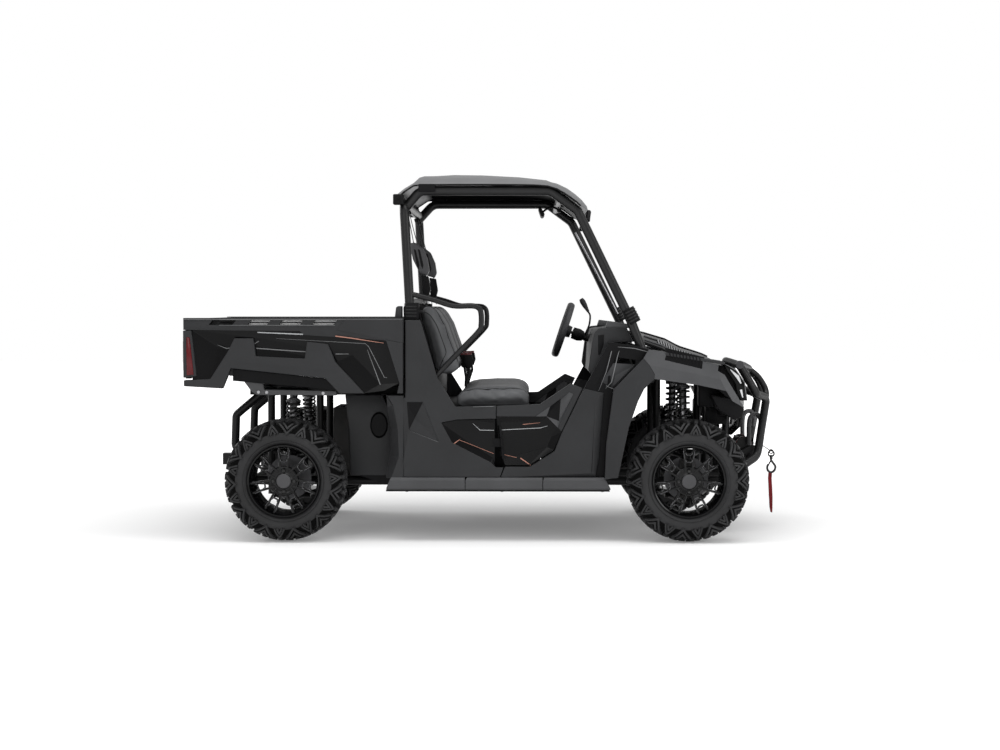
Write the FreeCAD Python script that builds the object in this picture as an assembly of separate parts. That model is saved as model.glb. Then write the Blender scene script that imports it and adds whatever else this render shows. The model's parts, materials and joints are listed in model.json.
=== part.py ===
import FreeCAD, Part
import math
import os

# A side by side utility vehicle with a cargo bed, in millimetres.
# +X points forward, +Y to its left and +Z up. The origin is on the ground, midway along it.

os.makedirs("parts", exist_ok=True)
Vector = FreeCAD.Vector
origin = Vector(0, 0, 0)
across = Vector(0, 1, 0)

# Stance and wheels
wheelbase = 2134.0
rear_axle_x = -1060.0
front_axle_x = rear_axle_x + wheelbase
tyre_radius = 325.0
track_outer_y = 787.0
front_tyre_width = 229.0
rear_tyre_width = 279.0
rim_radius = 185.0
rim_wall = 11.0
hub_radius = 76.0
hub_cap_radius = 38.0
hub_cap_depth = 14.0
spoke_count = 7
spoke_bar = 15.0
spoke_gap = 22.0
spoke_depth = 24.0
spoke_inset = 14.0
rung_shares = (0.45, 0.8)
rim_edge_inset = 14.0
disc_radius = 116.0
disc_thickness = 6.0
axle_stub_radius = 20.0
running_fit = 0.05
seat_gap = 0.3
moving_gap = 6.0

# Cab, bed and nose sizes
cab_half_width = 720.0
side_wall = 36.0
cab_rear_x = -421.0
cab_length = 1101.0
sill_z = 341.0
cab_height = 832.0
rocker_drop = 62.0
rocker_proud = 10.0
floor_thickness = 14.0
nose_reach = 557.0
nose_x = front_axle_x - nose_reach
nose_length = 866.0
nose_height = 719.0
fender_half_width = 750.0
fender_wall = 30.0
fender_lip = 18.0
hood_half_width = 496.0
hood_wall = 14.0
bed_front_x = -429.0
bed_length = 1161.0
bed_low_z = 785.0
bed_height = 399.0
bed_half_width = 740.0
bed_wall = 34.0
bed_floor_z = 905.0
bed_floor_thickness = 25.0
tailgate_thickness = 30.0
tail_light_width = 52.0

# Chassis tubes
rail_radius = 25.0
rail_y = 250.0
shaft_radius = 15.0
shaft_clearance = 4.0
rail_z = tyre_radius - shaft_radius - shaft_clearance - rail_radius
rail_rear_x = -1330.0
rail_front_x = 1400.0
cross_radius = 20.0
hoop_y = 335.0
upper_rail_width = 50.0
upper_rail_height = 42.0
upper_rail_z = 757.0
front_rail_z = 860.0
bumper_radius = 22.0

# Cage
cage_radius = 25.0
cage_y = 655.0
cage_foot_share = 0.2925
cage_foot_reach_share = 0.967
cage_rear_x = -450.0
cage_length = (nose_x + nose_length * cage_foot_share - cage_rear_x) / cage_foot_reach_share
cage_height = 684.0
collar_radius = 33.0
collar_height = 88.0

# Pivots
pivot_x = -1262.0
pivot_z = 776.0
pivot_pin_radius = 10.0
pivot_ear = 12.0
kingpin_y = 600.0
kingpin_radius = 9.0
knuckle_height = 200.0
knuckle_width = 60.0
knuckle_depth = 70.0


def block(x_min, x_max, y_min, y_max, z_min, z_max):
    return Part.makeBox(x_max - x_min, y_max - y_min, z_max - z_min, Vector(x_min, y_min, z_min))


def place(shares, x_start, z_start, length, height):
    return [(x_start + length * a, z_start + height * b) for a, b in shares]


def slab(points, y_min, y_max):
    loop = [Vector(x, y_min, z) for x, z in points]
    return Part.Face(Part.makePolygon(loop + loop[:1])).extrude(Vector(0, y_max - y_min, 0))


def bar(start, end, radius):
    run = end - start
    return Part.makeCylinder(radius, run.Length, start, run)


def bent_bar(points, radius, bend):
    """Round bar along straight runs joined by tangent arcs."""
    edges = []
    last = points[0]
    for before, corner, after in zip(points, points[1:], points[2:]):
        back = (before - corner).normalize()
        ahead = (after - corner).normalize()
        half_turn = (math.pi - back.getAngle(ahead)) / 2
        trim = bend * math.tan(half_turn)
        arc_start = corner + back * trim
        arc_end = corner + ahead * trim
        inward = (back + ahead).normalize()
        middle = corner + inward * (bend / math.cos(half_turn) - bend)
        edges.append(Part.LineSegment(last, arc_start).toShape())
        edges.append(Part.Arc(arc_start, middle, arc_end).toShape())
        last = arc_end
    edges.append(Part.LineSegment(last, points[-1]).toShape())
    path = Part.Wire(edges)
    ring = Part.Wire([Part.makeCircle(radius, points[0], points[1] - points[0])])
    return outward(path.makePipe(Part.Face(ring)))


def joined(shapes):
    return shapes[0].multiFuse(shapes[1:]).removeSplitter() if len(shapes) > 1 else shapes[0]


def mirrored(shape):
    return shape.mirror(origin, across)


def both(shape):
    return [shape, mirrored(shape)]


def largest(shape):
    return max(shape.Solids, key=lambda solid: abs(solid.Volume))


def outward(solid):
    return solid if solid.Volume > 0 else solid.reversed()


def write(name, solids):
    kept = [outward(solid) for shape in solids for solid in shape.Solids]
    result = kept[0] if len(kept) == 1 else Part.makeCompound(kept)
    result.exportStep("parts/" + name + ".step")


# Wheels
front_wheel_y = track_outer_y - front_tyre_width / 2
rear_wheel_y = track_outer_y - rear_tyre_width / 2
tyre_profile_shares = [(-0.36, 0), (-0.5, 0.36), (-0.5, 0.78), (-0.32, 1), (0.32, 1), (0.5, 0.78), (0.5, 0.36),
                       (0.36, 0)]
lug_count = 11
lug_height = 17.0
lug_side_height = 7.0
lug_width = 62.0
lug_shares = [(0.03, 0.78), (0.03, 1), (0.28, 1), (0.42, 0.93), (0.5, 0.76), (0.5, 0.55), (0.42, 0.52)]


def wheel_ring(points, x_centre, y_centre):
    loop = [Vector(x_centre, y_centre + y, tyre_radius + r) for y, r in points]
    face = Part.Face(Part.makePolygon(loop + loop[:1]))
    return face.revolve(Vector(x_centre, y_centre, tyre_radius), across, 360)


def facet_ring(points, x_centre, y_centre, sides):
    """Ring of flat facets round a wheel's axis, through the points of one section."""
    step = 2 * math.pi / sides
    corners = []
    for index in range(sides):
        turn = (index + 0.5) * step
        spread = 1 / math.cos(step / 2)
        corners.append([Vector(x_centre + r * spread * math.sin(turn), y_centre + y,
                               tyre_radius + r * spread * math.cos(turn)) for y, r in points])
    faces = []
    for index in range(sides):
        near = corners[index - 1]
        far = corners[index]
        for row in range(len(points)):
            loop = [near[row - 1], near[row], far[row], far[row - 1]]
            faces.append(Part.Face(Part.makePolygon(loop + loop[:1])))
    return outward(Part.Solid(Part.makeShell(faces)))


def tyre(x_centre, y_centre, width):
    """Faceted carcass with a row of lugs on each shoulder, the two rows half a step apart."""
    side = tyre_radius - rim_radius
    wall = width - 2 * lug_side_height
    points = [(wall * a, rim_radius + seat_gap + (side - lug_height) * b) for a, b in tyre_profile_shares]
    shapes = [facet_ring(points, x_centre, y_centre, 2 * lug_count)]
    centre = Vector(x_centre, y_centre, tyre_radius)
    for half, start in ((-1, 0), (1, 180 / lug_count)):
        loop = [Vector(x_centre - lug_width / 2, y_centre + half * y, tyre_radius + r)
                for y, r in place(lug_shares, 0, rim_radius, width, side)]
        lug = outward(Part.Face(Part.makePolygon(loop + loop[:1])).extrude(Vector(lug_width, 0, 0)))
        for index in range(lug_count):
            turned = lug.copy()
            turned.rotate(centre, across, start + index * 360 / lug_count)
            shapes.append(turned)
    return joined(shapes)


def rim(x_centre, y_centre, width):
    """Left-hand rim: barrel, ladder spokes, hub with its cap, and the brake disc behind it."""
    half = width / 2
    lip = half - rim_edge_inset
    barrel = [(-lip, rim_radius - rim_wall), (-lip, rim_radius), (lip, rim_radius), (lip, rim_radius - rim_wall)]
    spoke_out = lip - spoke_inset
    spoke_in = spoke_out - spoke_depth
    shapes = [wheel_ring(barrel, x_centre, y_centre)]
    centre = Vector(x_centre, y_centre, tyre_radius)
    reach = rim_radius - rim_wall / 2
    start = hub_radius - spoke_bar
    for side in (-1, 1):
        offset = side * (spoke_gap + spoke_bar) / 2
        shapes.append(block(x_centre + offset - spoke_bar / 2, x_centre + offset + spoke_bar / 2,
                            y_centre + spoke_in, y_centre + spoke_out,
                            tyre_radius + start, tyre_radius + reach))
    for share in rung_shares:
        rung = start + (reach - start) * share
        shapes.append(block(x_centre - spoke_gap / 2 - spoke_bar / 2, x_centre + spoke_gap / 2 + spoke_bar / 2,
                            y_centre + spoke_in, y_centre + spoke_out,
                            tyre_radius + rung - spoke_bar / 2, tyre_radius + rung + spoke_bar / 2))
    ladder = shapes[1:]
    for index in range(1, spoke_count):
        for piece in ladder:
            turned = piece.copy()
            turned.rotate(centre, across, index * 360 / spoke_count)
            shapes.append(turned)
    hub_in = knuckle_outer_y(y_centre) - y_centre + moving_gap
    hub = Part.makeCylinder(hub_radius, spoke_out - spoke_in, centre + across * spoke_in, across)
    cap = Part.makeCylinder(hub_cap_radius, hub_cap_depth, centre + across * spoke_out, across)
    boss = Part.makeCylinder(hub_cap_radius, spoke_in - hub_in, centre + across * hub_in, across)
    disc = Part.makeCylinder(disc_radius, disc_thickness, centre + across * hub_in, across)
    bore = Part.makeCylinder(axle_stub_radius + running_fit, spoke_in - hub_in, centre + across * hub_in, across)
    return joined(shapes + [hub, cap, boss, disc]).cut(bore)


def knuckle_outer_y(y_centre):
    if y_centre == front_wheel_y:
        return kingpin_y + knuckle_width / 2
    return rear_wheel_y - rear_tyre_width / 2 + knuckle_width


def stub(x_centre, y_centre, width):
    """Axle stub that the wheel's hub turns on, from the upright out to the hub's bore."""
    start = knuckle_outer_y(y_centre)
    end = y_centre + width / 2 - rim_edge_inset - spoke_inset - spoke_depth - seat_gap
    return Part.makeCylinder(axle_stub_radius, end - start, Vector(x_centre, start, tyre_radius), across)


def wheels():
    front = tyre(front_axle_x, front_wheel_y, front_tyre_width)
    rear = tyre(rear_axle_x, rear_wheel_y, rear_tyre_width)
    front_rim = rim(front_axle_x, front_wheel_y, front_tyre_width)
    rear_rim = rim(rear_axle_x, rear_wheel_y, rear_tyre_width)
    for name, left in (("front_tyre", front), ("rear_tyre", rear), ("front_rim", front_rim), ("rear_rim", rear_rim)):
        write(name + "_left", [left])
        write(name + "_right", [mirrored(left)])


# Suspension, axles and steering rods
arm_radius = 13.0
arm_root_spread = 135.0
arm_tip_spread = 20.0
ball_reach = 20.0
arm_lower_z = tyre_radius - knuckle_height / 2 - ball_reach
arm_upper_z = tyre_radius + knuckle_height / 2 + ball_reach
ball_radius = 24.0
ball_height = 24.0
shock_coil_radius = 40.0
shock_valley_radius = 29.0
shock_rod_radius = 13.0
shock_coils = 7
coil_end_shares = (0.16, 0.86)
coil_flat_shares = (0.3, 0.7)
shock_top_y = 330.0
shock_low_y = 425.0
drive_half_width = 105.0
drive_half_length = 50.0
drive_half_height = 82.0
boot_radius = 34.0
boot_length = 70.0
rack_radius = 11.0
rack_half_length = 180.0
rack_housing_radius = 18.0
rack_foot = 20.0
steer_rise = 20.0
steer_z = tyre_radius + steer_rise
rear_tip_y = rear_wheel_y - rear_tyre_width / 2 - ball_radius - moving_gap
rear_upright_y = rear_tip_y - ball_radius
arm_bar_z = arm_upper_z + ball_height / 2
rack_x = front_axle_x - drive_half_length - cross_radius - seat_gap


def knuckle(x_centre):
    """Left-hand front upright with its kingpin bores, steering arm and axle stub."""
    low = tyre_radius - knuckle_height / 2
    high = tyre_radius + knuckle_height / 2
    body = block(x_centre - knuckle_depth / 2, x_centre + knuckle_depth / 2,
                 kingpin_y - knuckle_width / 2, kingpin_y + knuckle_width / 2, low, high)
    arm_low_z = steer_z + rack_radius + moving_gap
    arm = block(rack_x - rack_radius, x_centre, kingpin_y - rack_radius, kingpin_y + rack_radius,
                arm_low_z, arm_low_z + 2 * rack_radius)
    shape = joined([body, arm, stub(front_axle_x, front_wheel_y, front_tyre_width)])
    bore_depth = knuckle_height / 4
    for start in (low, high - bore_depth):
        shape = shape.cut(Part.makeCylinder(kingpin_radius + running_fit, bore_depth, Vector(x_centre, kingpin_y, start)))
    return shape


def arms(x_centre, tip_y, lower_root_z, upper_root_z):
    """Left-hand pair of wishbones, each from two points on the chassis to one ball housing."""
    shapes = []
    for tip_z, root_z in ((arm_lower_z, lower_root_z), (arm_upper_z, upper_root_z)):
        legs = []
        for side in (-1, 1):
            root = Vector(x_centre + side * arm_root_spread, rail_y, root_z)
            tip = Vector(x_centre + side * arm_tip_spread, tip_y, tip_z)
            post = Part.makeCylinder(cross_radius + seat_gap, 2 * root_z, Vector(root.x, rail_y, 0))
            legs.append(largest(bar(root, tip, arm_radius).cut(post)))
        legs.append(Part.makeCylinder(ball_radius, ball_height, Vector(x_centre, tip_y, tip_z - ball_height / 2)))
        legs.append(bar(Vector(x_centre - arm_root_spread * 0.75, shock_low_y, tip_z + (root_z - tip_z) * 0.5),
                        Vector(x_centre + arm_root_spread * 0.75, shock_low_y, tip_z + (root_z - tip_z) * 0.5),
                        arm_radius))
        shapes.append(joined(legs))
    return shapes


def shock(x_centre, carrier_z):
    """Left-hand coil-over strut from the upper wishbone's bar to its carrier, with a corrugated sleeve as spring."""
    arm_bar = Vector(x_centre, shock_low_y, arm_bar_z)
    carrier = Vector(x_centre, shock_top_y, carrier_z)
    heading = (carrier - arm_bar).normalize()
    low = arm_bar + heading * (arm_radius + seat_gap)
    run = carrier - heading * (cross_radius + seat_gap) - low
    length = run.Length
    start, end = coil_end_shares
    step = (end - start) / shock_coils
    profile = [(0, start)]
    for index in range(shock_coils):
        profile.append((shock_valley_radius, start + step * index))
        for flat in coil_flat_shares:
            profile.append((shock_coil_radius, start + step * (index + flat)))
    profile.append((shock_valley_radius, start + step * shock_coils))
    profile.append((0, start + step * shock_coils))
    loop = [Vector(r, 0, length * share) for r, share in profile]
    sleeve = Part.Face(Part.makePolygon(loop + loop[:1])).revolve(origin, Vector(0, 0, 1), 360)
    rod = Part.makeCylinder(shock_rod_radius, length)
    shape = joined([sleeve, rod])
    shape.Placement = FreeCAD.Placement(low, FreeCAD.Rotation(Vector(0, 0, 1), run))
    return shape


def suspension():
    front = arms(front_axle_x, kingpin_y, arm_lower_z + ball_height, arm_upper_z + ball_height)
    low = tyre_radius - knuckle_height / 2
    pin_length = knuckle_height / 4 - seat_gap
    front[0] = joined([front[0], Part.makeCylinder(kingpin_radius, low + pin_length - arm_lower_z,
                                                   Vector(front_axle_x, kingpin_y, arm_lower_z))])
    top = tyre_radius + knuckle_height / 2
    front[1] = joined([front[1], Part.makeCylinder(kingpin_radius, arm_upper_z - top + pin_length,
                                                   Vector(front_axle_x, kingpin_y, top - pin_length))])
    write("front_arms", [shape for arm in front for shape in both(arm)])
    inner_y = rear_wheel_y - rear_tyre_width / 2
    rear = arms(rear_axle_x, rear_tip_y, arm_lower_z + ball_height, arm_upper_z + ball_height)
    upright = block(rear_axle_x - knuckle_depth / 2, rear_axle_x + knuckle_depth / 2,
                    rear_tip_y - ball_radius, inner_y - moving_gap,
                    arm_lower_z + ball_height / 2, arm_upper_z - ball_height / 2)
    carrier = Part.makeCylinder(knuckle_depth / 2, knuckle_width + moving_gap,
                                Vector(rear_axle_x, inner_y - moving_gap, tyre_radius), across)
    hole = Part.makeCylinder(shaft_radius + seat_gap, knuckle_width, Vector(rear_axle_x, rear_tip_y - ball_radius, tyre_radius), across)
    axle = stub(rear_axle_x, rear_wheel_y, rear_tyre_width)
    rear = [joined([rear[0], rear[1], upright, carrier, axle]).cut(hole)]
    write("rear_arms", [shape for arm in rear for shape in both(arm)])
    write("front_shocks", both(shock(front_axle_x, front_rail_z)))
    write("rear_shocks", both(shock(rear_axle_x, upper_rail_z + upper_rail_height / 2)))
    left = knuckle(front_axle_x)
    write("knuckle_left", [left])
    write("knuckle_right", [mirrored(left)])


def steering_rack():
    """Sliding rack with its tie rods, and the fixed tube on two feet that it slides in."""
    end = kingpin_y + rack_radius
    rack = bar(Vector(rack_x, -end, steer_z), Vector(rack_x, end, steer_z), rack_radius)
    tube = bar(Vector(rack_x, -rack_half_length, steer_z), Vector(rack_x, rack_half_length, steer_z), rack_housing_radius)
    feet = []
    for side in (-1, 1):
        y = side * (rack_half_length - rack_foot)
        feet.append(block(rack_x - rack_foot / 2, rack_x + rack_foot / 2, y - rack_foot / 2, y + rack_foot / 2,
                          rail_z + cross_radius + seat_gap, steer_z))
    bore = bar(Vector(rack_x, -end, steer_z), Vector(rack_x, end, steer_z), rack_radius + running_fit)
    return rack, joined([tube] + feet).cut(bore)


def drive_unit(x_centre, boot_end_y, reach_y):
    case = block(x_centre - drive_half_length, x_centre + drive_half_length,
                 -drive_half_width, drive_half_width,
                 tyre_radius - drive_half_height, tyre_radius + drive_half_height)
    shapes = [case]
    for side in (-1, 1):
        shapes.append(bar(Vector(x_centre, 0, tyre_radius), Vector(x_centre, side * reach_y, tyre_radius), shaft_radius))
        for edge in (drive_half_width, boot_end_y - boot_length):
            shapes.append(bar(Vector(x_centre, side * edge, tyre_radius),
                              Vector(x_centre, side * (edge + boot_length), tyre_radius), boot_radius))
    return joined(shapes)


# Chassis
post_overhang = 10.0
post_low_z = arm_lower_z + ball_height - arm_radius - post_overhang
front_rail_reach = 188.0
front_rail_rear_x = nose_x + front_rail_reach
front_rail_front_x = 1320.0
upper_rail_rear_x = -1310.0
engine_length = 400.0
engine_width = 380.0
engine_height = 380.0
outrigger_shares = (0.335, 0.52, 0.715)
hoop_shares = [(0, 0), (0.316, 0), (0.974, 0.325), (1, 0.74), (0.77, 1)]
hoop_drop = 398.0
hoop_reach = 234.0
hoop_start_x = -1150.0
hitch_width = 63.5
hitch_bore = 50.8
hitch_length = 175.0
hitch_rise = 99.0
hitch_z = rail_z + hitch_rise
hitch_pin_radius = 8.15
bed_rest_radius = 18.0
cross_top_z = rail_z + cross_radius


def shock_mount(x_centre, z_centre):
    """Short carrier beside the chassis that a strut's upper eye hangs under."""
    shapes = []
    for side in (-1, 1):
        x = x_centre + side * arm_root_spread / 2
        shapes.append(bar(Vector(x, rail_y, z_centre), Vector(x, shock_top_y, z_centre), cross_radius * 0.7))
    shapes.append(bar(Vector(x_centre - arm_root_spread * 0.6, shock_top_y, z_centre),
                      Vector(x_centre + arm_root_spread * 0.6, shock_top_y, z_centre), cross_radius))
    return joined(shapes)


def frame_lower():
    shapes = []
    outer = cab_half_width - side_wall - seat_gap
    rail_length = rail_front_x - rail_rear_x
    case_reach = drive_half_length + cross_radius + seat_gap
    cross_places = [rail_rear_x + 1.5 * cross_radius]
    bumper_reach = bumper_y + bumper_radius
    front_x = rail_front_x - 1.5 * cross_radius
    shapes.append(bar(Vector(front_x, -bumper_reach, rail_z), Vector(front_x, bumper_reach, rail_z), cross_radius))
    for axle_x in (rear_axle_x, front_axle_x):
        cross_places += [axle_x - case_reach, axle_x + case_reach]
    cross_places.append(cab_rear_x - engine_length / 4)
    for x in cross_places:
        shapes.append(bar(Vector(x, -rail_y, rail_z), Vector(x, rail_y, rail_z), cross_radius))
    for share in outrigger_shares:
        x = rail_rear_x + rail_length * share
        shapes.append(bar(Vector(x, -outer, rail_z), Vector(x, outer, rail_z), cross_radius))
    for side in (-1, 1):
        y = side * rail_y
        shapes.append(bar(Vector(rail_rear_x, y, rail_z), Vector(rail_front_x, y, rail_z), rail_radius))
    return joined(shapes)


def axle_posts():
    """Uprights at each axle, cut in two by the rails that they stand on and hang from."""
    solids = []
    tops = {rear_axle_x: upper_rail_z - seat_gap, front_axle_x: front_rail_z - cross_radius - seat_gap}
    for axle_x, top_z in tops.items():
        for end in (-1, 1):
            x = axle_x + end * arm_root_spread
            for y in (-rail_y, rail_y):
                rail = bar(Vector(rail_rear_x, y, rail_z), Vector(rail_front_x, y, rail_z), rail_radius + seat_gap)
                post = bar(Vector(x, y, post_low_z), Vector(x, y, top_z), cross_radius)
                solids += post.cut(rail).Solids
    return solids


def frame_upper():
    shapes = []
    rail_low = upper_rail_z
    rail_high = upper_rail_z + upper_rail_height
    front_end = cab_rear_x - 2 * floor_thickness + moving_gap
    middle = (rail_low + rail_high) / 2
    for side in (-1, 1):
        inner = side * rail_y - upper_rail_width / 2
        shapes.append(block(upper_rail_rear_x, front_end, inner, inner + upper_rail_width, rail_low, rail_high))
        rest_x = cab_rear_x - engine_length / 4
        shapes.append(Part.makeCylinder(bed_rest_radius, bed_floor_z - bed_floor_thickness - seat_gap - rail_high,
                                        Vector(rest_x, side * rail_y, rail_high)))
    for x in (upper_rail_rear_x + cross_radius, rear_axle_x, cab_rear_x - engine_length / 4):
        shapes.append(bar(Vector(x, -rail_y, middle), Vector(x, rail_y, middle), cross_radius))
    reach = rail_y + upper_rail_width / 2 + moving_gap + pivot_ear + moving_gap / 2
    shapes.append(bar(Vector(pivot_x, -reach, pivot_z), Vector(pivot_x, reach, pivot_z), pivot_pin_radius))
    mount = shock_mount(rear_axle_x, middle)
    shapes += both(mount)
    shapes += both(rear_hoop(middle))
    shapes.append(hitch())
    return joined(shapes)


def rear_hoop(top_z):
    """Left-hand tube that guards the tail and carries the tow receiver."""
    y = hoop_y
    low_z = top_z - hoop_drop
    points = [Vector(hoop_start_x - hoop_reach * a, y, top_z - hoop_drop * b) for a, b in hoop_shares]
    tube = bent_bar(points, bumper_radius, bumper_radius * 1.6)
    tie = bar(Vector(hoop_start_x, y, top_z), Vector(hoop_start_x, rail_y, top_z), bumper_radius)
    low_tie = bar(Vector(hitch_front_x(), 0, low_z), Vector(hitch_front_x(), y, low_z), bumper_radius)
    return joined([tube, tie, low_tie])


def hitch_front_x():
    return hoop_start_x - hoop_reach * hoop_shares[-1][0]


def hitch():
    half = hitch_width / 2
    bore = hitch_bore / 2
    rear_x = hitch_front_x() - hitch_length
    outer = block(rear_x, hitch_front_x(), -half, half, hitch_z - half, hitch_z + half)
    hollow = block(rear_x, hitch_front_x() - bumper_radius, -bore, bore, hitch_z - bore, hitch_z + bore)
    pin = Part.makeCylinder(hitch_pin_radius, hitch_width, Vector(rear_x + hitch_length / 3, -half, hitch_z), across)
    return outer.cut(hollow).cut(pin)


def frame_front():
    shapes = []
    for side in (-1, 1):
        y = side * rail_y
        shapes.append(bar(Vector(front_rail_rear_x, y, front_rail_z), Vector(front_rail_front_x, y, front_rail_z), cross_radius))
        shapes.append(bar(Vector(front_rail_rear_x, y, front_rail_z),
                          Vector(front_rail_rear_x, y, rail_z + rail_radius), cross_radius))
        shapes.append(bar(Vector(front_rail_front_x, y, front_rail_z),
                          Vector(front_rail_front_x, y, rail_z + rail_radius), cross_radius))
    for x in (front_rail_rear_x, front_rail_front_x):
        shapes.append(bar(Vector(x, -rail_y, front_rail_z), Vector(x, rail_y, front_rail_z), cross_radius))
    shapes += both(shock_mount(front_axle_x, front_rail_z))
    leg_y = cage_y + cage_radius / 2
    leg_x = cage_point(-1)[0]
    shapes.append(bar(Vector(leg_x, -leg_y, front_rail_z), Vector(leg_x, leg_y, front_rail_z), cross_radius))
    return joined(shapes)


def chassis():
    write("frame_lower", [frame_lower()])
    write("axle_posts", axle_posts())
    write("frame_upper", [frame_upper()])
    write("frame_front", [frame_front()])
    engine_front = cab_rear_x - 2 * floor_thickness - moving_gap
    base = cross_top_z + seat_gap
    engine = block(engine_front - engine_length, engine_front, -engine_width / 2, engine_width / 2,
                   base, base + engine_height)
    write("engine_block", [engine])
    write("rear_drive", [drive_unit(rear_axle_x, rear_upright_y - seat_gap, rear_wheel_y - rear_tyre_width / 2)])
    front_reach = kingpin_y - knuckle_width - 3 * moving_gap
    write("front_drive", [drive_unit(front_axle_x, front_reach, front_reach)])


# Cab shell
inner_side = cab_half_width - side_wall
floor_top_z = rail_z + rail_radius + seat_gap + floor_thickness
firewall_reach = 133.0
firewall_x = nose_x + firewall_reach
firewall_z = 880.0
toe_start_x = 582.0
toe_top_z = 640.0
rear_wall_z = 860.0
quarter_shares = [(-0.069, 0.001), (-0.031, 0.131), (-0.037, 0.311), (-0.058, 0.455), (-0.09, 0.52), (0, 0.52), (0, 1), (0.072, 1), (0.154, 0.634), (0.24, 0.45), (0.436, 0.456),
                  (0.436, 0.372), (0.249, 0.366), (0.173, 0.346), (0.225, 0.219), (0.412, 0.093), (0.44, 0.05),
                  (0.45, 0.001)]
scoop_shares = [(0.012, 0.48), (0.076, 0.48), (0.158, 0.22), (0.019, 0.32)]
inset_shares = [(0.249, 0.366), (0.173, 0.346), (0.225, 0.219), (0.412, 0.093), (0.43, 0.068), (0.43, 0.37)]
door_shares = [(0.436, 0.456), (0.647, 0.468), (0.794, 0.601), (0.852, 0.57), (0.752, 0.291), (0.713, 0.17),
               (0.594, 0.075), (0.479, 0.075), (0.455, 0.144), (0.436, 0.367)]
side_panel_shares = [(0.159, 0.996), (0.361, 0.959), (0.418, 0.939), (0.405, 0.881), (0.357, 0.881),
                     (0.187, 0.61), (0.12, 0.281), (0.12, 0.001)]
panel_foot_share = 0.455
panel_top_shares = [(0.159, 0.996), (0.361, 0.959), (0.418, 0.939), (0.418, 0.92), (0.361, 0.94), (0.159, 0.977)]
rocker_front_reach = 411.0
rocker_length = front_axle_x - rocker_front_reach - cab_rear_x
rocker_shares = [(-0.0954, -1), (-0.0477, -0.07), (0, 0), (0.9523, 0), (1, -0.65), (1, -1)]
door_thickness = 24.0
door_seam = 4.5
inset_thickness = 24.0
hinge_top_share = (0.455, 0.335)
hinge_low_share = (0.471, 0.11)
hinge_radius = 7.5
hinge_pin_radius = 3.5
hinge_proud = 10.0
hinge_plate = 6.0
inset_band_shares = [(0.38, 0.62)]
door_band_shares = [(0.05, 0.33), (0.67, 0.95)]
door_leaf_shares = (0.19, 0.81)
pin_band_shares = [(0.02, 0.98)]


def floor():
    rear_x = cab_rear_x - floor_thickness + moving_gap - floor_thickness / 2
    base = floor_top_z - floor_thickness
    outline = [(rear_x, base), (toe_start_x + floor_thickness / 2, base), (firewall_x + floor_thickness, toe_top_z),
               (firewall_x + floor_thickness, firewall_z), (firewall_x, firewall_z), (firewall_x, toe_top_z),
               (toe_start_x, floor_top_z), (rear_x + floor_thickness, floor_top_z),
               (rear_x + floor_thickness, rear_wall_z), (rear_x, rear_wall_z)]
    half = inner_side - seat_gap
    return slab(outline, -half, half)


def side_part(shares, x_start, z_start, length, height, inner, outer):
    return slab(place(shares, x_start, z_start, length, height), inner, outer)


def rocker():
    return side_part(rocker_shares, cab_rear_x, sill_z, rocker_length, rocker_drop, inner_side, cab_half_width + rocker_proud)


def quarter():
    panel = side_part(quarter_shares, cab_rear_x, sill_z, cab_length, cab_height, inner_side, cab_half_width)
    recess = side_part(scoop_shares, cab_rear_x, sill_z, cab_length, cab_height,
                       cab_half_width - side_wall / 2, cab_half_width + side_wall)
    return panel.cut(recess)


def hinge_line():
    """Left door's slanted hinge line, low end first."""
    y = inner_side + door_thickness + hinge_proud
    low = Vector(cab_rear_x + cab_length * hinge_low_share[0], y, sill_z + cab_height * hinge_low_share[1])
    top = Vector(cab_rear_x + cab_length * hinge_top_share[0], y, sill_z + cab_height * hinge_top_share[1])
    return low, top


def knuckles(bands, radius):
    low, top = hinge_line()
    run = top - low
    return [bar(low + run * start, low + run * end, radius) for start, end in bands]


def side_inset():
    panel = side_part(inset_shares, cab_rear_x, sill_z, cab_length, cab_height, inner_side, inner_side + inset_thickness)
    low, top = hinge_line()
    run = top - low
    shapes = [panel] + knuckles(inset_band_shares, hinge_radius)
    middle = low + run * 0.5
    plate_y = low.y - hinge_plate / 2
    reach = run.Length * 0.11
    shapes.append(block(middle.x - 4 * hinge_radius - hinge_plate * 3, middle.x, plate_y, plate_y + hinge_plate,
                        middle.z - reach, middle.z + reach))
    shapes.append(block(middle.x - 4 * hinge_radius - hinge_plate * 3, middle.x - 4 * hinge_radius - hinge_plate,
                        inner_side + inset_thickness / 2, plate_y + hinge_plate, middle.z - reach, middle.z + reach))
    shapes += knuckles(pin_band_shares, hinge_pin_radius)
    return joined(shapes)


def door():
    panel = side_part(door_shares, cab_rear_x, sill_z, cab_length, cab_height, inner_side, inner_side + door_thickness)
    low, top = hinge_line()
    run = top - low
    shapes = [panel] + knuckles(door_band_shares, hinge_radius)
    for share in door_leaf_shares:
        middle = low + run * share
        reach = run.Length * 0.1
        shapes.append(block(middle.x, middle.x + 3 * hinge_radius, inner_side + door_thickness / 2, low.y + hinge_radius / 2,
                            middle.z - reach, middle.z + reach))
    bore = knuckles([(0, 1)], hinge_pin_radius + running_fit)[0]
    return joined(shapes).cut(bore)


def side_panel():
    door_edge = place(door_shares[3:8], cab_rear_x + door_seam, sill_z - door_seam, cab_length, cab_height)
    foot = (cab_rear_x + cab_length * panel_foot_share, sill_z)
    outline = [foot] + door_edge[::-1] + place(side_panel_shares, nose_x, sill_z, nose_length, nose_height)
    panel = slab(outline, inner_side, cab_half_width)
    shelf = side_part(panel_top_shares, nose_x, sill_z, nose_length, nose_height, hood_half_width + moving_gap, inner_side)
    shape = joined([panel, shelf])
    run = [Vector(*cage_point(index)) for index in (-4, -3, -2, -1)]
    for start, end in zip(run, run[1:]):
        shape = shape.cut(bar(start, end, cage_radius + moving_gap))
    return shape


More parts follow.
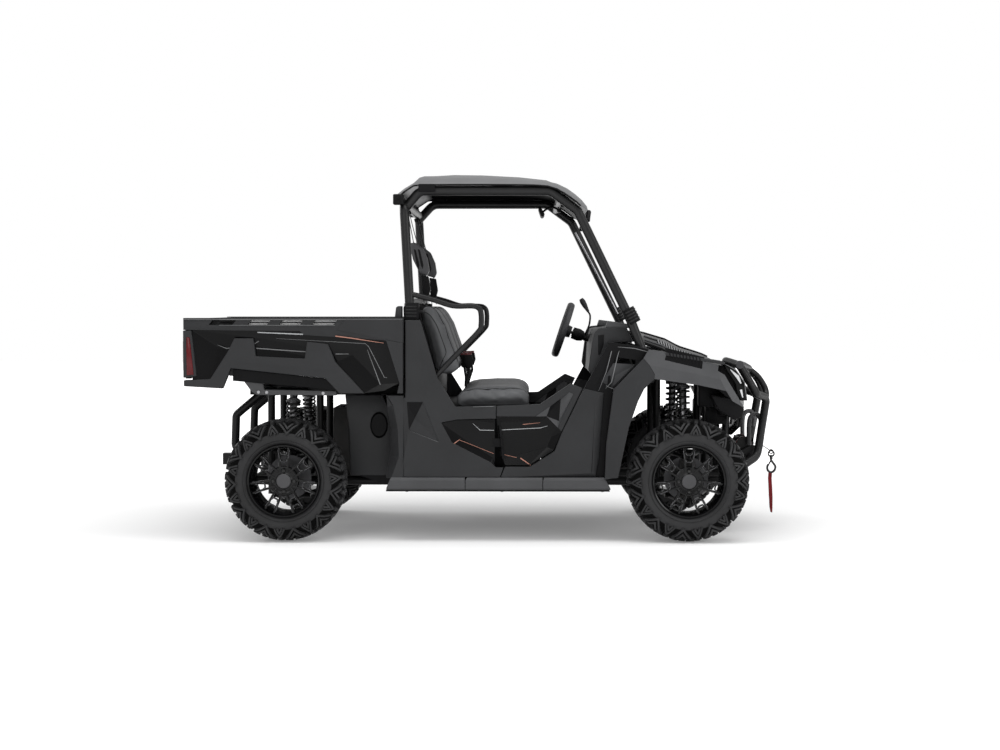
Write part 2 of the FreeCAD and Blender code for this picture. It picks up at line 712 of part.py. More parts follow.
def cab_shell():
    write("floor", [floor()])
    for name, left in (("rockers", rocker()), ("rear_quarters", quarter()), ("side_insets", side_inset()),
                       ("front_side_panels", side_panel())):
        write(name, both(left))
    left_door = door()
    write("door_left", [left_door])
    write("door_right", [mirrored(left_door)])


# Roll cage and roof
cage_shares = [(0.016, 0.902), (0.084, 1), (0.63, 1), (0.744, 0.845), (0.967, 0), (1, -0.155), (1.054, -0.475)]
cage_bend = 70.0
hoop_bend = 60.0
roof_half_width = 690.0
roof_flat_width = 640.0
roof_crown_width = 330.0
roof_wall = 12.0
roof_length = 1062.0
roof_rise = 68.0
roof_drop = 150.0
roof_edge_shares = [(0, -0.57), (0.055, -0.3), (0.12, 0), (0.145, 0), (0.45, 0), (0.81, 0), (0.915, -0.5),
                    (0.965, -0.74), (0.99, -0.94), (1, -1.02)]
roof_crown_shares = [(0, -0.57), (0.06, -0.3), (0.13, 0.45), (0.15, 1), (0.45, 1), (0.81, 0.55), (0.93, -0.2),
                     (0.99, -0.64), (1, -0.9), (0.99, -1.04)]
cross_bar_radius = 19.0
mirror_width = 230.0
mirror_height = 62.0
mirror_depth = 26.0


def cage_point(index):
    share_x, share_z = cage_shares[index]
    return (cage_rear_x + cage_length * share_x, cage_y, sill_z + cab_height + cage_height * share_z)


def roll_cage():
    base_z = sill_z + cab_height
    leg_x = cab_rear_x + cage_radius
    top = Vector(*cage_point(0))
    foot = Vector(leg_x, cage_y, floor_top_z + seat_gap)
    waist = Vector(leg_x, cage_y, base_z)
    flip = [Vector(p.x, -p.y, p.z) for p in (top, waist, foot)]
    hoop = bent_bar([foot, waist, top] + flip, cage_radius, hoop_bend)
    rail = [Vector(*cage_point(index)) for index in range(len(cage_shares))]
    leg_end = front_rail_z + cross_radius + seat_gap
    rail[-1] = Vector(rail[-1].x, cage_y, leg_end + cage_radius * 0.5)
    shapes = [hoop]
    shapes += both(bent_bar([top - Vector(0, hoop_bend / 2, hoop_bend / 2)] + rail[1:], cage_radius, cage_bend))
    shapes += both(Part.makeCylinder(collar_radius, collar_height, waist + Vector(0, 0, seat_gap)))
    front = rail[2] + (rail[3] - rail[2]) * 0.35
    shapes.append(bar(Vector(front.x, -cage_y, front.z), front, cross_bar_radius))
    back = waist + (top - waist) * 0.16
    shapes.append(bar(Vector(back.x, -cage_y, back.z), back, cross_bar_radius))
    cage = joined(shapes)
    keep_out = block(cage_rear_x + cage_length / 2, nose_x + nose_length, -cab_half_width, cab_half_width, 0, leg_end)
    return cage.cut(keep_out)


def ruled_strips(stations, thickness):
    """Thin shell through side outlines at several y, each outline's wall hanging below it."""
    wires = []
    for y, points in stations:
        loop = [Vector(x, y, z) for x, z in points]
        loop += [Vector(x, y, z - thickness) for x, z in reversed(points)]
        wires.append(Part.makePolygon(loop + loop[:1]))
    return Part.makeLoft(wires, True, True)


def roof():
    top_z = sill_z + cab_height + cage_height + cage_radius + seat_gap + roof_wall
    rear_x = cage_rear_x - 2 * cage_radius
    edge = place(roof_edge_shares, rear_x, top_z, roof_length, roof_drop)
    crown = [(rear_x + roof_length * a, top_z + (roof_rise if b > 0 else roof_drop) * b) for a, b in roof_crown_shares]
    stations = [(-roof_half_width, edge), (-roof_flat_width, edge), (-roof_crown_width, crown),
                (roof_crown_width, crown), (roof_flat_width, edge), (roof_half_width, edge)]
    return ruled_strips(stations, roof_wall)


def cabin_mirror():
    """Inside mirror on a stem under the front cross bar."""
    rail = [Vector(*cage_point(index)) for index in (2, 3)]
    front = rail[0] + (rail[1] - rail[0]) * 0.35
    bottom = front.z - cross_bar_radius - mirror_height
    glass = block(front.x - 2 * mirror_depth, front.x - mirror_depth, -mirror_width / 2, mirror_width / 2,
                  bottom, bottom + mirror_height)
    stem = block(front.x - 1.5 * mirror_depth, front.x + mirror_depth / 2, -mirror_depth / 2, mirror_depth / 2,
                 bottom + mirror_height / 2, front.z - cross_bar_radius - seat_gap)
    return joined([glass, stem])


def cage_and_roof():
    write("roll_cage", [roll_cage()])
    write("roof", [roof()])
    write("cabin_mirror", [cabin_mirror()])


# Seats, bars and controls
seat_box_half = 600.0
seat_box_rear_x = -300.0
seat_box_length = 535.0
seat_top_z = 705.0
seat_wall = 12.0
cushion_x = -155.0
cushion_length = 405.0
cushion_half = 625.0
cushion_height = 140.0
cushion_shares = [(0, 0.05), (0.03, 0.62), (0.12, 0.86), (0.5, 1), (0.9, 0.9), (1, 0.62), (0.98, 0), (0.03, 0)]
back_count = 3
back_width = 385.0
back_gap = 12.0
back_x = -352.0
back_z = 868.0
back_length = 230.0
back_height = 395.0
back_shares = [(0.41, 0), (0.83, 0.04), (0.99, 0.1), (0.6, 0.72), (0.35, 0.96), (0.2, 1), (0.05, 0.97), (0, 0.9)]
back_plate = 14.0
hip_radius = 16.0
hip_bend = 45.0
hip_length = 356.0
hip_rise = 240.0
hip_slope_share = 1.065
hip_shares = [(0, 1), (0.52, 0.77), (0.93, 0.77), (1, 0.62), (1, 0.25)]
belt_width = 46.0
belt_thickness = 4.0
belt_guide = 60.0
belt_y = 400.0
buckle_height = 92.0
buckle_width = 52.0
buckle_depth = 24.0
buckle_y = 205.0
stalk_radius = 6.0
dash_half = 620.0
dash_reach = 53.0
dash_x = nose_x + dash_reach
dash_length = 196.0
dash_height = 252.0
dash_wall = 14.0
dash_shares = [(0, 0), (0.48, 0), (0.48, 0.055), (0.07, 0.055), (0.125, 0.7), (0.19, 0.88), (0.62, 0.945), (1, 0.87),
               (1, 0.93), (0.62, 1), (0.14, 0.935), (0.055, 0.715)]
dash_lip_shares = [(0.93, 0.9), (0.93, 0.6), (1, 0.6), (1, 0.9)]
ear_shares = [(0, -6.4), (1, -6.4), (1, 1), (0.7, 1), (0.7, -2.8), (0, -2.8)]
wheel_centre_x = 440.0
wheel_centre_y = 380.0
wheel_centre_z = 1107.0
wheel_radius = 152.0
wheel_grip = 14.0
wheel_hub = 36.0
wheel_hub_depth = 50.0
wheel_tilt = 18.4
wheel_spoke_angles = (270, 150, 30)
column_radius = 22.0
column_pin_radius = 9.0
lever_y = 120.0
lever_share = 0.35
lever_radius = 7.0
lever_length = 150.0
lever_knob = 19.0
pedal_width = 60.0
pedal_height = 90.0
pedal_thickness = 10.0


def seat_box():
    half = seat_box_half
    base = floor_top_z + seat_gap
    end = seat_box_rear_x + seat_box_length
    outer = block(seat_box_rear_x, end, -half, half, base, seat_top_z)
    inner = block(seat_box_rear_x + seat_wall, end - seat_wall, -half + seat_wall, half - seat_wall, base, seat_top_z - seat_wall)
    low, high = back_rear_line()
    rear = [(low[0] - seat_gap, seat_top_z), (low[0] - seat_gap, low[1]), (high[0] - seat_gap, high[1]),
            (high[0] - back_plate, high[1]), (low[0] - back_plate, low[1]), (low[0] - back_plate, seat_top_z)]
    return joined([outer.cut(inner), slab(rear, -half, half)])


def back_rear_line():
    points = place(back_shares, back_x, back_z, back_length, back_height)
    return points[0], points[-1]


def seats():
    write("seat_box", [seat_box()])
    cushion = slab(place(cushion_shares, cushion_x, seat_top_z + seat_gap, cushion_length, cushion_height),
                   -cushion_half, cushion_half)
    write("seat_base", [cushion])
    outline = place(back_shares, back_x, back_z, back_length, back_height)
    backs = []
    for index in range(back_count):
        middle = (index - (back_count - 1) / 2) * (back_width + back_gap)
        backs.append(slab(outline, middle - back_width / 2, middle + back_width / 2))
    write("seat_backs", backs)


def hip_bar():
    """Left-hand bar beside the seat, from the pillar forward, down and back to the pillar."""
    start_x = cab_rear_x + 2 * cage_radius + seat_gap
    points = [Vector(start_x + hip_length * a, cage_y, sill_z + cab_height - hip_rise * 0.2 + hip_rise * b * 0.7)
              for a, b in hip_shares]
    points.append(Vector(start_x, cage_y, points[-1].z - hip_length * hip_slope_share))
    leg_x = cab_rear_x + cage_radius
    leg = bar(Vector(leg_x, cage_y, floor_top_z), Vector(leg_x, cage_y, sill_z + cab_height), cage_radius + seat_gap)
    points[-1] = points[-1] + (points[-1] - points[-2]).normalize() * (hip_radius * 2)
    return largest(bent_bar(points, hip_radius, hip_bend).cut(leg))


def belts():
    """Outer belts: webbing from the cage past a guide to the seat back, with a buckle on a stalk."""
    top = Vector(*cage_point(0))
    high = back_rear_line()[1]
    shapes = []
    strap_top = top.z - cage_radius - seat_gap
    outline = [(top.x, strap_top), (top.x + belt_thickness, strap_top),
               (high[0] + belt_thickness * 5, back_z + back_height + seat_gap),
               (high[0] + belt_thickness * 4, back_z + back_height + seat_gap)]
    strap = slab(outline, belt_y - belt_width / 2, belt_y + belt_width / 2)
    guide_z = (strap_top + back_z + back_height) / 2
    guide_x = (top.x + high[0]) / 2
    guide = block(guide_x - belt_guide / 4, guide_x + belt_guide / 2, belt_y - belt_guide / 2, belt_y + belt_guide / 2,
                  guide_z - belt_guide, guide_z + belt_guide)
    shapes.append(joined([strap, guide]))
    seat_z = seat_top_z + seat_gap + cushion_height
    stalk_x = cushion_x + cushion_length * 0.12
    stalk = bar(Vector(stalk_x, buckle_y, seat_z - cushion_height * 0.13), Vector(stalk_x, buckle_y, seat_z + buckle_height), stalk_radius)
    buckle = block(stalk_x - buckle_depth / 2, stalk_x + buckle_depth / 2, buckle_y - buckle_width / 2, buckle_y + buckle_width / 2,
                   seat_z + buckle_height / 2, seat_z + buckle_height * 1.5)
    shapes.append(joined([stalk, buckle]))
    return shapes


def dash():
    base = firewall_z + seat_gap
    panel = slab(place(dash_shares, dash_x, base, dash_length, dash_height), -dash_half, dash_half)
    lip = slab(place(dash_lip_shares, dash_x, base, dash_length, dash_height), -hood_half_width, hood_half_width)
    ears = [lip]
    for side in (-1, 1):
        y = side * hood_hinge_y
        ear_x = dash_x + dash_length - dash_wall / 2
        outline = place(ear_shares, ear_x, hood_hinge_z, hood_hinge_x + hood_pin_radius - ear_x, hood_pin_radius)
        ears.append(slab(outline, y - dash_wall / 2, y + dash_wall / 2))
        ears.append(bar(Vector(hood_hinge_x, y, hood_hinge_z),
                        Vector(hood_hinge_x, y - side * (dash_wall * 1.5 + hood_knuckle), hood_hinge_z), hood_pin_radius))
    return joined([panel] + ears)


wheel_axis = Vector(math.cos(math.radians(wheel_tilt)), 0, -math.sin(math.radians(wheel_tilt)))
wheel_centre = Vector(wheel_centre_x, wheel_centre_y, wheel_centre_z)


def steering_wheel():
    ring = Part.makeTorus(wheel_radius, wheel_grip, wheel_centre, wheel_axis)
    hub = Part.makeCylinder(wheel_hub, wheel_hub_depth, wheel_centre - wheel_axis * (wheel_grip / 2), wheel_axis)
    shapes = [ring, hub]
    for angle in wheel_spoke_angles:
        spoke = block(0, wheel_radius, -wheel_grip, wheel_grip, -wheel_grip / 3, wheel_grip / 3)
        spoke.rotate(origin, Vector(0, 0, 1), angle)
        spoke.Placement = FreeCAD.Placement(wheel_centre, FreeCAD.Rotation(Vector(0, 0, 1), wheel_axis)).multiply(spoke.Placement)
        shapes.append(spoke)
    pin_start = wheel_centre + wheel_axis * (wheel_hub_depth - wheel_grip)
    shapes.append(bar(pin_start, pin_start + wheel_axis * (wheel_hub * 2), column_pin_radius))
    return joined(shapes)


def steering_column():
    start = wheel_centre + wheel_axis * (wheel_hub_depth - wheel_grip / 2 + moving_gap)
    front_x = dash_x + dash_length / 3
    end = start + wheel_axis * ((front_x - start.x) / wheel_axis.x)
    tube = bar(start, end, column_radius)
    bore = bar(start, start + wheel_axis * (wheel_hub * 2), column_pin_radius + running_fit)
    return tube.cut(bore)


def controls():
    top_left, top_right = (dash_shares[index] for index in (10, 9))
    along = (lever_share - top_left[0]) / (top_right[0] - top_left[0])
    rise = (top_left[1] + (top_right[1] - top_left[1]) * along) * dash_height
    foot = Vector(dash_x + dash_length * lever_share, lever_y, firewall_z + rise + lever_radius * 0.2 + 2 * seat_gap)
    bend = foot + Vector(0, 0, lever_length * 0.25)
    knob = foot + Vector(-lever_length * 0.45, 0, lever_length)
    along = (knob - bend).normalize() * lever_knob
    stick = bent_bar([foot, bend, knob], lever_radius, 2 * lever_radius)
    lever = joined([stick, bar(knob - along, knob + along, lever_knob)])
    solids = [lever]
    for place_y in (wheel_centre_y - pedal_width, wheel_centre_y + pedal_width):
        pedal_z = floor_top_z + pedal_height
        face_x = toe_start_x + (firewall_x - toe_start_x) * (pedal_height * 1.5) / (toe_top_z - floor_top_z)
        pad = block(face_x - 8 * pedal_thickness, face_x - 7 * pedal_thickness, place_y - pedal_width / 2, place_y + pedal_width / 2,
                    pedal_z, pedal_z + pedal_height)
        arm = block(face_x - 7.5 * pedal_thickness, firewall_x, place_y - pedal_thickness, place_y + pedal_thickness,
                    pedal_z + pedal_height - 2 * pedal_thickness, pedal_z + pedal_height)
        solids.append(joined([pad, arm]))
    return solids


def cab_fittings():
    column = steering_column()
    panel = dash()
    toe_board = floor()
    write("dash", [panel.cut(bar(wheel_centre, wheel_centre + wheel_axis * 3 * wheel_radius, column_radius + seat_gap))])
    rack, rack_tube = steering_rack()
    write("steering_column", [column, rack_tube])
    write("steering_rack", [rack])
    write("steering_wheel", [steering_wheel()])
    write("cab_controls", [largest(shape.cut(toe_board)) for shape in controls()])
    write("hip_bars", both(hip_bar()))
    write("seat_belts", [shape for left in belts() for shape in both(left)])


# Nose
hood_hinge_reach = 277.0
hood_hinge_x = nose_x + hood_hinge_reach
hood_hinge_z = 1080.0
hood_hinge_y = 250.0
hood_pin_radius = 5.0
hood_knuckle = 20.0
hood_length = 530.0
hood_drop = 200.0
hood_side_fall = 40.0
hood_crown_share = 0.56
hood_shares = [(0, 0), (0.13, -0.07), (0.36, -0.25), (0.5, -0.45), (0.74, -0.65), (0.94, -0.9), (1, -1)]
fascia_gap = 7.0
fascia_height = 372.0
fascia_depth = 74.0
fascia_wall = 14.0
fascia_sweep = 85.0
chin_half = 272.0
fascia_shares = [(0, 1), (0.45, 0.93), (0.76, 0.79), (1, 0.47), (0.9, 0.3)]
chin_shares = [(0.9, 0.3), (0.75, 0.12)]
fender_shares = [(0.12, 0.004), (0.12, 0.281), (0.187, 0.61), (0.357, 0.881), (0.405, 0.881), (0.418, 0.939),
                 (0.496, 0.924), (0.533, 0.822), (0.721, 0.778), (0.721, 0.851), (0.818, 0.829), (0.842, 0.734),
                 (0.879, 0.742), (0.921, 0.661), (1, 0.486), (0.976, 0.486), (0.891, 0.632), (0.872, 0.669),
                 (0.436, 0.727), (0.345, 0.596), (0.26, 0.296), (0.205, 0.004)]
fender_top_shares = [(0.418, 0.939), (0.496, 0.924), (0.848, 0.857), (0.85, 0.83), (0.496, 0.896), (0.418, 0.911)]
lamp_shares = [(0.86, 0.84), (0.935, 0.795), (0.99, 0.7), (1.005, 0.565), (0.95, 0.565), (0.93, 0.69), (0.87, 0.8)]
bumper_y = 300.0
bumper_length = 196.0
bumper_rise = 586.0
bumper_shares = [(0, 1), (0.55, 0.7), (0.86, 0.66), (0.56, 0.146), (0, 0)]
bumper_top_radius = 19.0
winch_radius = 44.0
winch_drum_radius = 26.0
winch_length = 230.0
winch_end = 40.0
winch_plate = 8.0
fairlead_width = 150.0
fairlead_height = 74.0
fairlead_depth = 14.0
fairlead_slot = 20.0


hood_top_z = hood_hinge_z + 2 * hood_pin_radius + moving_gap + hood_wall


def hood():
    rear_x = hood_hinge_x - hood_pin_radius / 2
    crown = place(hood_shares, rear_x, hood_top_z, hood_length, hood_drop)
    low = place(hood_shares, rear_x, hood_top_z - hood_side_fall, hood_length - fascia_sweep, hood_drop)
    crown_half = hood_half_width * hood_crown_share
    shell = ruled_strips([(-hood_half_width, low), (-crown_half, crown), (crown_half, crown), (hood_half_width, low)], hood_wall)
    shapes = []
    for side in (-1, 1):
        y = side * (hood_hinge_y - dash_wall / 2 - moving_gap / 2)
        inner = y - side * hood_knuckle
        low_y = min(y, inner)
        shapes.append(block(hood_hinge_x - 2 * hood_pin_radius, hood_hinge_x + 2 * hood_pin_radius, low_y, low_y + hood_knuckle,
                            hood_hinge_z - 2 * hood_pin_radius, hood_top_z - hood_wall - hood_pin_radius / 2))
    bore = bar(Vector(hood_hinge_x, -hood_half_width, hood_hinge_z), Vector(hood_hinge_x, hood_half_width, hood_hinge_z),
               hood_pin_radius + running_fit)
    return joined([shell] + shapes).cut(bore)


def fascia():
    rear_x = hood_hinge_x + hood_length + fascia_gap + fascia_wall
    top_z = hood_top_z - hood_drop
    centre = place(fascia_shares, rear_x, top_z - fascia_height, fascia_depth, fascia_height)
    sides = [(x - fascia_sweep, z - hood_side_fall) for x, z in centre]
    crown_half = hood_half_width * hood_crown_share
    upper = stepped_strips([(-hood_half_width, sides), (-crown_half, centre), (crown_half, centre), (hood_half_width, sides)])
    low = place(chin_shares, rear_x, top_z - fascia_height, fascia_depth, fascia_height)
    low.append((front_rail_front_x + cross_radius + seat_gap + fascia_wall, top_z - fascia_height))
    chin = stepped_strips([(-chin_half, low), (chin_half, low)])
    return joined([upper, chin])


def stepped_strips(stations):
    """Like the roof's shell, with the wall behind each outline."""
    wires = []
    for y, points in stations:
        loop = [Vector(x, y, z) for x, z in points]
        loop += [Vector(x - fascia_wall, y, z - fascia_wall / 4) for x, z in reversed(points)]
        wires.append(Part.makePolygon(loop + loop[:1]))
    return Part.makeLoft(wires, True, True)


def fender():
    panel = side_part(fender_shares, nose_x, sill_z, nose_length, nose_height, fender_half_width - 2 * fender_wall, fender_half_width)
    top = side_part(fender_top_shares, nose_x, sill_z, nose_length, nose_height,
                    hood_half_width + moving_gap, fender_half_width - fender_wall)
    return joined([panel, top])


def front_bumper():
    base_x = rail_front_x - cross_radius
    low_z = cross_top_z + bumper_radius + seat_gap
    points = [Vector(base_x + bumper_length * a, bumper_y, low_z + bumper_rise * b) for a, b in bumper_shares]
    points[-1] = Vector(base_x - cross_radius, bumper_y, low_z)
    shapes = both(bent_bar(points, bumper_radius, bumper_radius * 1.6))
    top = points[0]
    shapes.append(bar(Vector(top.x, -bumper_y - 2 * bumper_radius, top.z), Vector(top.x, bumper_y + 2 * bumper_radius, top.z), bumper_top_radius))
    low = points[3]
    shapes.append(bar(Vector(low.x, -bumper_y, low.z), Vector(low.x, bumper_y, low.z), bumper_top_radius))
    plate_z = low.z + bumper_top_radius * 0.6
    shapes.append(block(base_x, low.x, -winch_length / 2, winch_length / 2, plate_z, plate_z + winch_plate))
    return joined(shapes), Vector(low.x, 0, plate_z + winch_plate)


def winch(seat_z, front_x):
    y = winch_length / 2 - winch_end
    centre_x = front_x - winch_radius - fairlead_depth * 2
    centre_z = seat_z + winch_radius + seat_gap
    drum = bar(Vector(centre_x, -y, centre_z), Vector(centre_x, y, centre_z), winch_drum_radius)
    ends = [block(centre_x - winch_radius, centre_x + winch_radius, low, low + winch_end, seat_z + seat_gap, seat_z + 2 * winch_radius)
            for low in (-y - winch_end / 2, y - winch_end / 2)]
    lead = block(centre_x + winch_radius, centre_x + winch_radius + fairlead_depth, -fairlead_width / 2, fairlead_width / 2,
                 centre_z - fairlead_height / 2, centre_z + fairlead_height / 2)
    slot = block(centre_x, centre_x + 2 * winch_radius, -fairlead_width / 3, fairlead_width / 3,
                 centre_z - fairlead_slot / 2, centre_z + fairlead_slot / 2)
    return joined([drum] + ends + [lead.cut(slot)]), Vector(centre_x + winch_drum_radius, 0, centre_z)


line_radius = 2.5
line_run = 34.0
line_route_shares = [(0, 0), (1.72, 0), (2.82, -0.45), (3.82, -1.2)]
thimble_radius = 14.0
hook_bar_radius = 6.0
hook_length = 120.0
hook_shares = [(0, 0), (0, -0.45), (0.22, -0.72), (0, -1), (-0.22, -0.78), (-0.2, -0.55)]
strap_length = 225.0
strap_width = 26.0
strap_thickness = 4.0


def winch_line(start):
    points = [start + Vector(line_run * a, 0, line_run * b) for a, b in line_route_shares]
    edges = []
    last = points[0]
    for before, corner, after in zip(points, points[1:], points[2:]):
        back = (before - corner).normalize()
        ahead = (after - corner).normalize()
        half_turn = (math.pi - back.getAngle(ahead)) / 2
        trim = 0.45 * min((before - corner).Length, (after - corner).Length)
        bend = trim / math.tan(half_turn)
        middle = corner + (back + ahead).normalize() * (bend / math.cos(half_turn) - bend)
        edges.append(Part.LineSegment(last, corner + back * trim).toShape())
        edges.append(Part.Arc(corner + back * trim, middle, corner + ahead * trim).toShape())
        last = corner + ahead * trim
        print("winch line bend radius", round(bend, 1))
    edges.append(Part.LineSegment(last, points[-1]).toShape())
    ring = Part.Wire([Part.makeCircle(line_radius, points[0], points[1] - points[0])])
    return Part.Wire(edges).makePipe(Part.Face(ring)), points[-1], (points[-1] - points[-2]).normalize()


def winch_hook(end, heading):
    """Thimble, hook and pull strap hanging from the end of the winch line."""
    eye = end + heading * (thimble_radius + seat_gap)
    thimble = Part.makeCylinder(thimble_radius, 2 * hook_bar_radius, eye - across * hook_bar_radius, across)
    points = [eye + Vector(hook_length * a, 0, hook_length * b) for a, b in hook_shares]
    curl = bent_bar(points, hook_bar_radius, 2 * hook_bar_radius)
    low = eye.z - hook_length - hook_bar_radius
    strap = block(eye.x - strap_thickness / 2, eye.x + strap_thickness / 2, -strap_width / 2, strap_width / 2,
                  low - strap_length, low + 2 * hook_bar_radius)
    return joined([thimble, curl, strap])


def nose():
    write("hood", [hood()])
    write("front_fascia", [fascia()])
    write("front_fenders", both(fender()))
    lamp = side_part(lamp_shares, nose_x, sill_z, nose_length, nose_height,
                     hood_half_width + moving_gap, fender_half_width - 2 * fender_wall - seat_gap)
    write("headlights", both(lamp))
    guard, low = front_bumper()
    write("front_bumper", [guard])
    drum, drum_face = winch(low.z, low.x + bumper_radius)
    write("winch", [drum])
    line, end, heading = winch_line(drum_face)
    write("winch_line", [line])
    write("winch_hook", [winch_hook(end, heading)])


# Cargo bed
bed_rear_x = bed_front_x - bed_length
bed_rail_width = 90.0
bed_rail_inner = bed_half_width - bed_rail_width
flare_shares = [(0, 0.183), (0.12, 0.183), (0.196, 0.552), (0.228, 0.724), (0.313, 0.724), (0.331, 0.526), (0.542, 0.473),
                (0.56, 0.684), (0.641, 0.658), (0.686, 0.434), (0.709, 0.434), (0.817, 0), (0.709, 0), (0.65, 0.183),
                (0.282, 0.341), (0.214, 0.302), (0.183, 0.065), (0, 0.091)]
band_shares = [(0, 0.842), (0, 1), (1, 1), (1, 0.671), (0.902, 0.71), (0.551, 0.776), (0.529, 0.829)]
post_shares = [(0.902, 0.71), (1, 0.671), (1, 0), (0.826, 0), (0.97, 0.131)]
slot_shares = [(0.115, 0.241), (0.291, 0.398), (0.434, 0.547), (0.583, 0.7)]
slot_low_share = 0.908
slot_top_share = 0.974
slot_lean_share = 0.018
side_shares = [(0, 0.14), (0, 0.842), (0.529, 0.829), (0.551, 0.776), (0.902, 0.71), (0.97, 0.131), (0.826, 0),
               (0.76, 0.1), (0.68, 0.3), (0.6, 0.35), (0.28, 0.44), (0.2, 0.3), (0.15, 0.14)]
lamp_low_share = 0.22
lamp_high_share = 0.78
tail_hinge_z = 876.0
tail_pin_radius = 7.0
tail_pin_length = 24.0
tailgate_top_z = 1180.0


def bed_part(shares, inner, outer):
    return slab(place(shares, bed_rear_x, bed_low_z, bed_length, bed_height), inner, outer)


def bed_box():
    inner = bed_rail_inner
    outer = inner + bed_wall
    top_z = bed_low_z + bed_height
    low_z = bed_floor_z - bed_floor_thickness
    floor_rear = bed_rear_x + tailgate_thickness + moving_gap
    shapes = [block(floor_rear, bed_front_x, -inner, inner, low_z, bed_floor_z),
              block(bed_front_x - bed_wall, bed_front_x, -inner, inner, low_z, top_z)]
    hinge_x = bed_rear_x + tailgate_thickness / 2
    for side in (-1, 1):
        wall_y = min(side * inner, side * outer)
        shapes.append(block(bed_rear_x, bed_front_x, wall_y, wall_y + bed_wall, low_z, top_z))
        shapes.append(bar(Vector(hinge_x, side * outer, tail_hinge_z), Vector(hinge_x, side * (inner - tail_pin_length), tail_hinge_z),
                          tail_pin_radius))
        boss_y = min(side * inner, side * outer)
        shapes.append(block(bed_rear_x, hinge_x + 2 * tail_pin_radius, boss_y, boss_y + bed_wall,
                            tail_hinge_z - 2 * tail_pin_radius, low_z))
    rail = bed_part(band_shares, outer, bed_half_width)
    for start, end in slot_shares:
        hole = [(start, slot_low_share), (start + slot_lean_share, slot_top_share), (end, slot_top_share), (end - slot_lean_share, slot_low_share)]
        rail = rail.cut(bed_part(hole, outer, bed_half_width + bed_wall))
    shapes += both(rail)
    ear_in = rail_y + upper_rail_width / 2 + moving_gap
    ear = block(pivot_x - 2.4 * pivot_pin_radius, pivot_x + 2.4 * pivot_pin_radius, ear_in, ear_in + pivot_ear, pivot_z, low_z)
    round_end = bar(Vector(pivot_x, ear_in, pivot_z), Vector(pivot_x, ear_in + pivot_ear, pivot_z), 2.4 * pivot_pin_radius)
    bore = bar(Vector(pivot_x, ear_in, pivot_z), Vector(pivot_x, ear_in + pivot_ear, pivot_z), pivot_pin_radius + running_fit)
    shapes += both(joined([ear, round_end]).cut(bore))
    return joined(shapes)


def tail_light():
    low = bed_low_z + bed_height * lamp_low_share
    high = bed_low_z + bed_height * lamp_high_share
    return block(bed_rear_x, bed_rear_x + tail_light_width, bed_rail_inner + bed_wall, bed_half_width, low, high)


def tailgate():
    half = bed_rail_inner - moving_gap
    hinge_x = bed_rear_x + tailgate_thickness / 2
    panel = block(bed_rear_x, bed_rear_x + tailgate_thickness, -half, half, tail_hinge_z, tailgate_top_z)
    tube = bar(Vector(hinge_x, -half, tail_hinge_z), Vector(hinge_x, half, tail_hinge_z), tailgate_thickness / 2)
    bore = bar(Vector(hinge_x, -bed_half_width, tail_hinge_z), Vector(hinge_x, bed_half_width, tail_hinge_z), tail_pin_radius + running_fit)
    return joined([panel, tube]).cut(bore)


def mud_guard():
    """Left-hand splash plate between the rear wheel and the cab."""
    front_x = cab_rear_x - floor_thickness + moving_gap - floor_thickness / 2 - seat_gap
    rear_x = rear_axle_x + tyre_radius - cross_radius
    inner = rear_wheel_y - rear_tyre_width / 2 - 2 * moving_gap - floor_thickness
    outline = [(rear_x, upper_rail_z), (front_x, upper_rail_z), (front_x, rail_z + rail_radius),
               (front_x - engine_length / 4, rail_z), (rear_x + cross_radius, tyre_radius + cross_radius)]
    plate = slab(outline, inner, inner + floor_thickness / 2)
    return plate


def cargo_bed():
    write("bed_box", [bed_box()])
    lamp = tail_light()
    flare = bed_part(flare_shares, bed_rail_inner + bed_wall, bed_half_width).cut(lamp)
    post = bed_part(post_shares, bed_rail_inner + bed_wall, bed_half_width)
    side = bed_part(side_shares, bed_rail_inner + bed_wall, bed_half_width - fender_lip / 2).cut(flare).cut(lamp).cut(post)
    write("bed_flares", both(flare) + both(post))
    write("bed_sides", both(largest(side)))
    write("tail_lights", both(lamp))
    write("tailgate", [tailgate()])
    write("mud_guards", both(mud_guard()))


wheels()
suspension()
chassis()
cab_shell()
cage_and_roof()
seats()
cab_fittings()
nose()
cargo_bed()
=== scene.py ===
import bmesh
import bpy
import json
import math
from mathutils import Matrix, Vector
from mathutils.bvhtree import BVHTree


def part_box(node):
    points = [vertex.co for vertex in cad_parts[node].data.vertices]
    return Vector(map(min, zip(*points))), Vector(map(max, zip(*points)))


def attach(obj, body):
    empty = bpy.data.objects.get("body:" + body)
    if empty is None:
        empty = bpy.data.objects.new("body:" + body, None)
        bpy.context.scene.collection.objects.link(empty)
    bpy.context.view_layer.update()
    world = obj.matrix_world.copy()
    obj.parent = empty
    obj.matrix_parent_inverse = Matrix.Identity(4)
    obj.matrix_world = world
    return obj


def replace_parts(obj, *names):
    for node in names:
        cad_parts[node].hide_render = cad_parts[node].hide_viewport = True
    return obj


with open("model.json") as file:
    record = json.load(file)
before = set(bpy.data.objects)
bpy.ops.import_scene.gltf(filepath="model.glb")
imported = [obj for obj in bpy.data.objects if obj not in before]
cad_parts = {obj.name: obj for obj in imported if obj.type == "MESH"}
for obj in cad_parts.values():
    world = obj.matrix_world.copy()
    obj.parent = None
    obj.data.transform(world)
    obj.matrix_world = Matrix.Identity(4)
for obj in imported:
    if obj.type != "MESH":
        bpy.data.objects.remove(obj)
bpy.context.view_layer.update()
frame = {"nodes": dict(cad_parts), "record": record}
nodes = frame["nodes"]
bodyOf = {node: body for body, names in frame["record"]["behaviour"]["bodies"].items() for node in names}

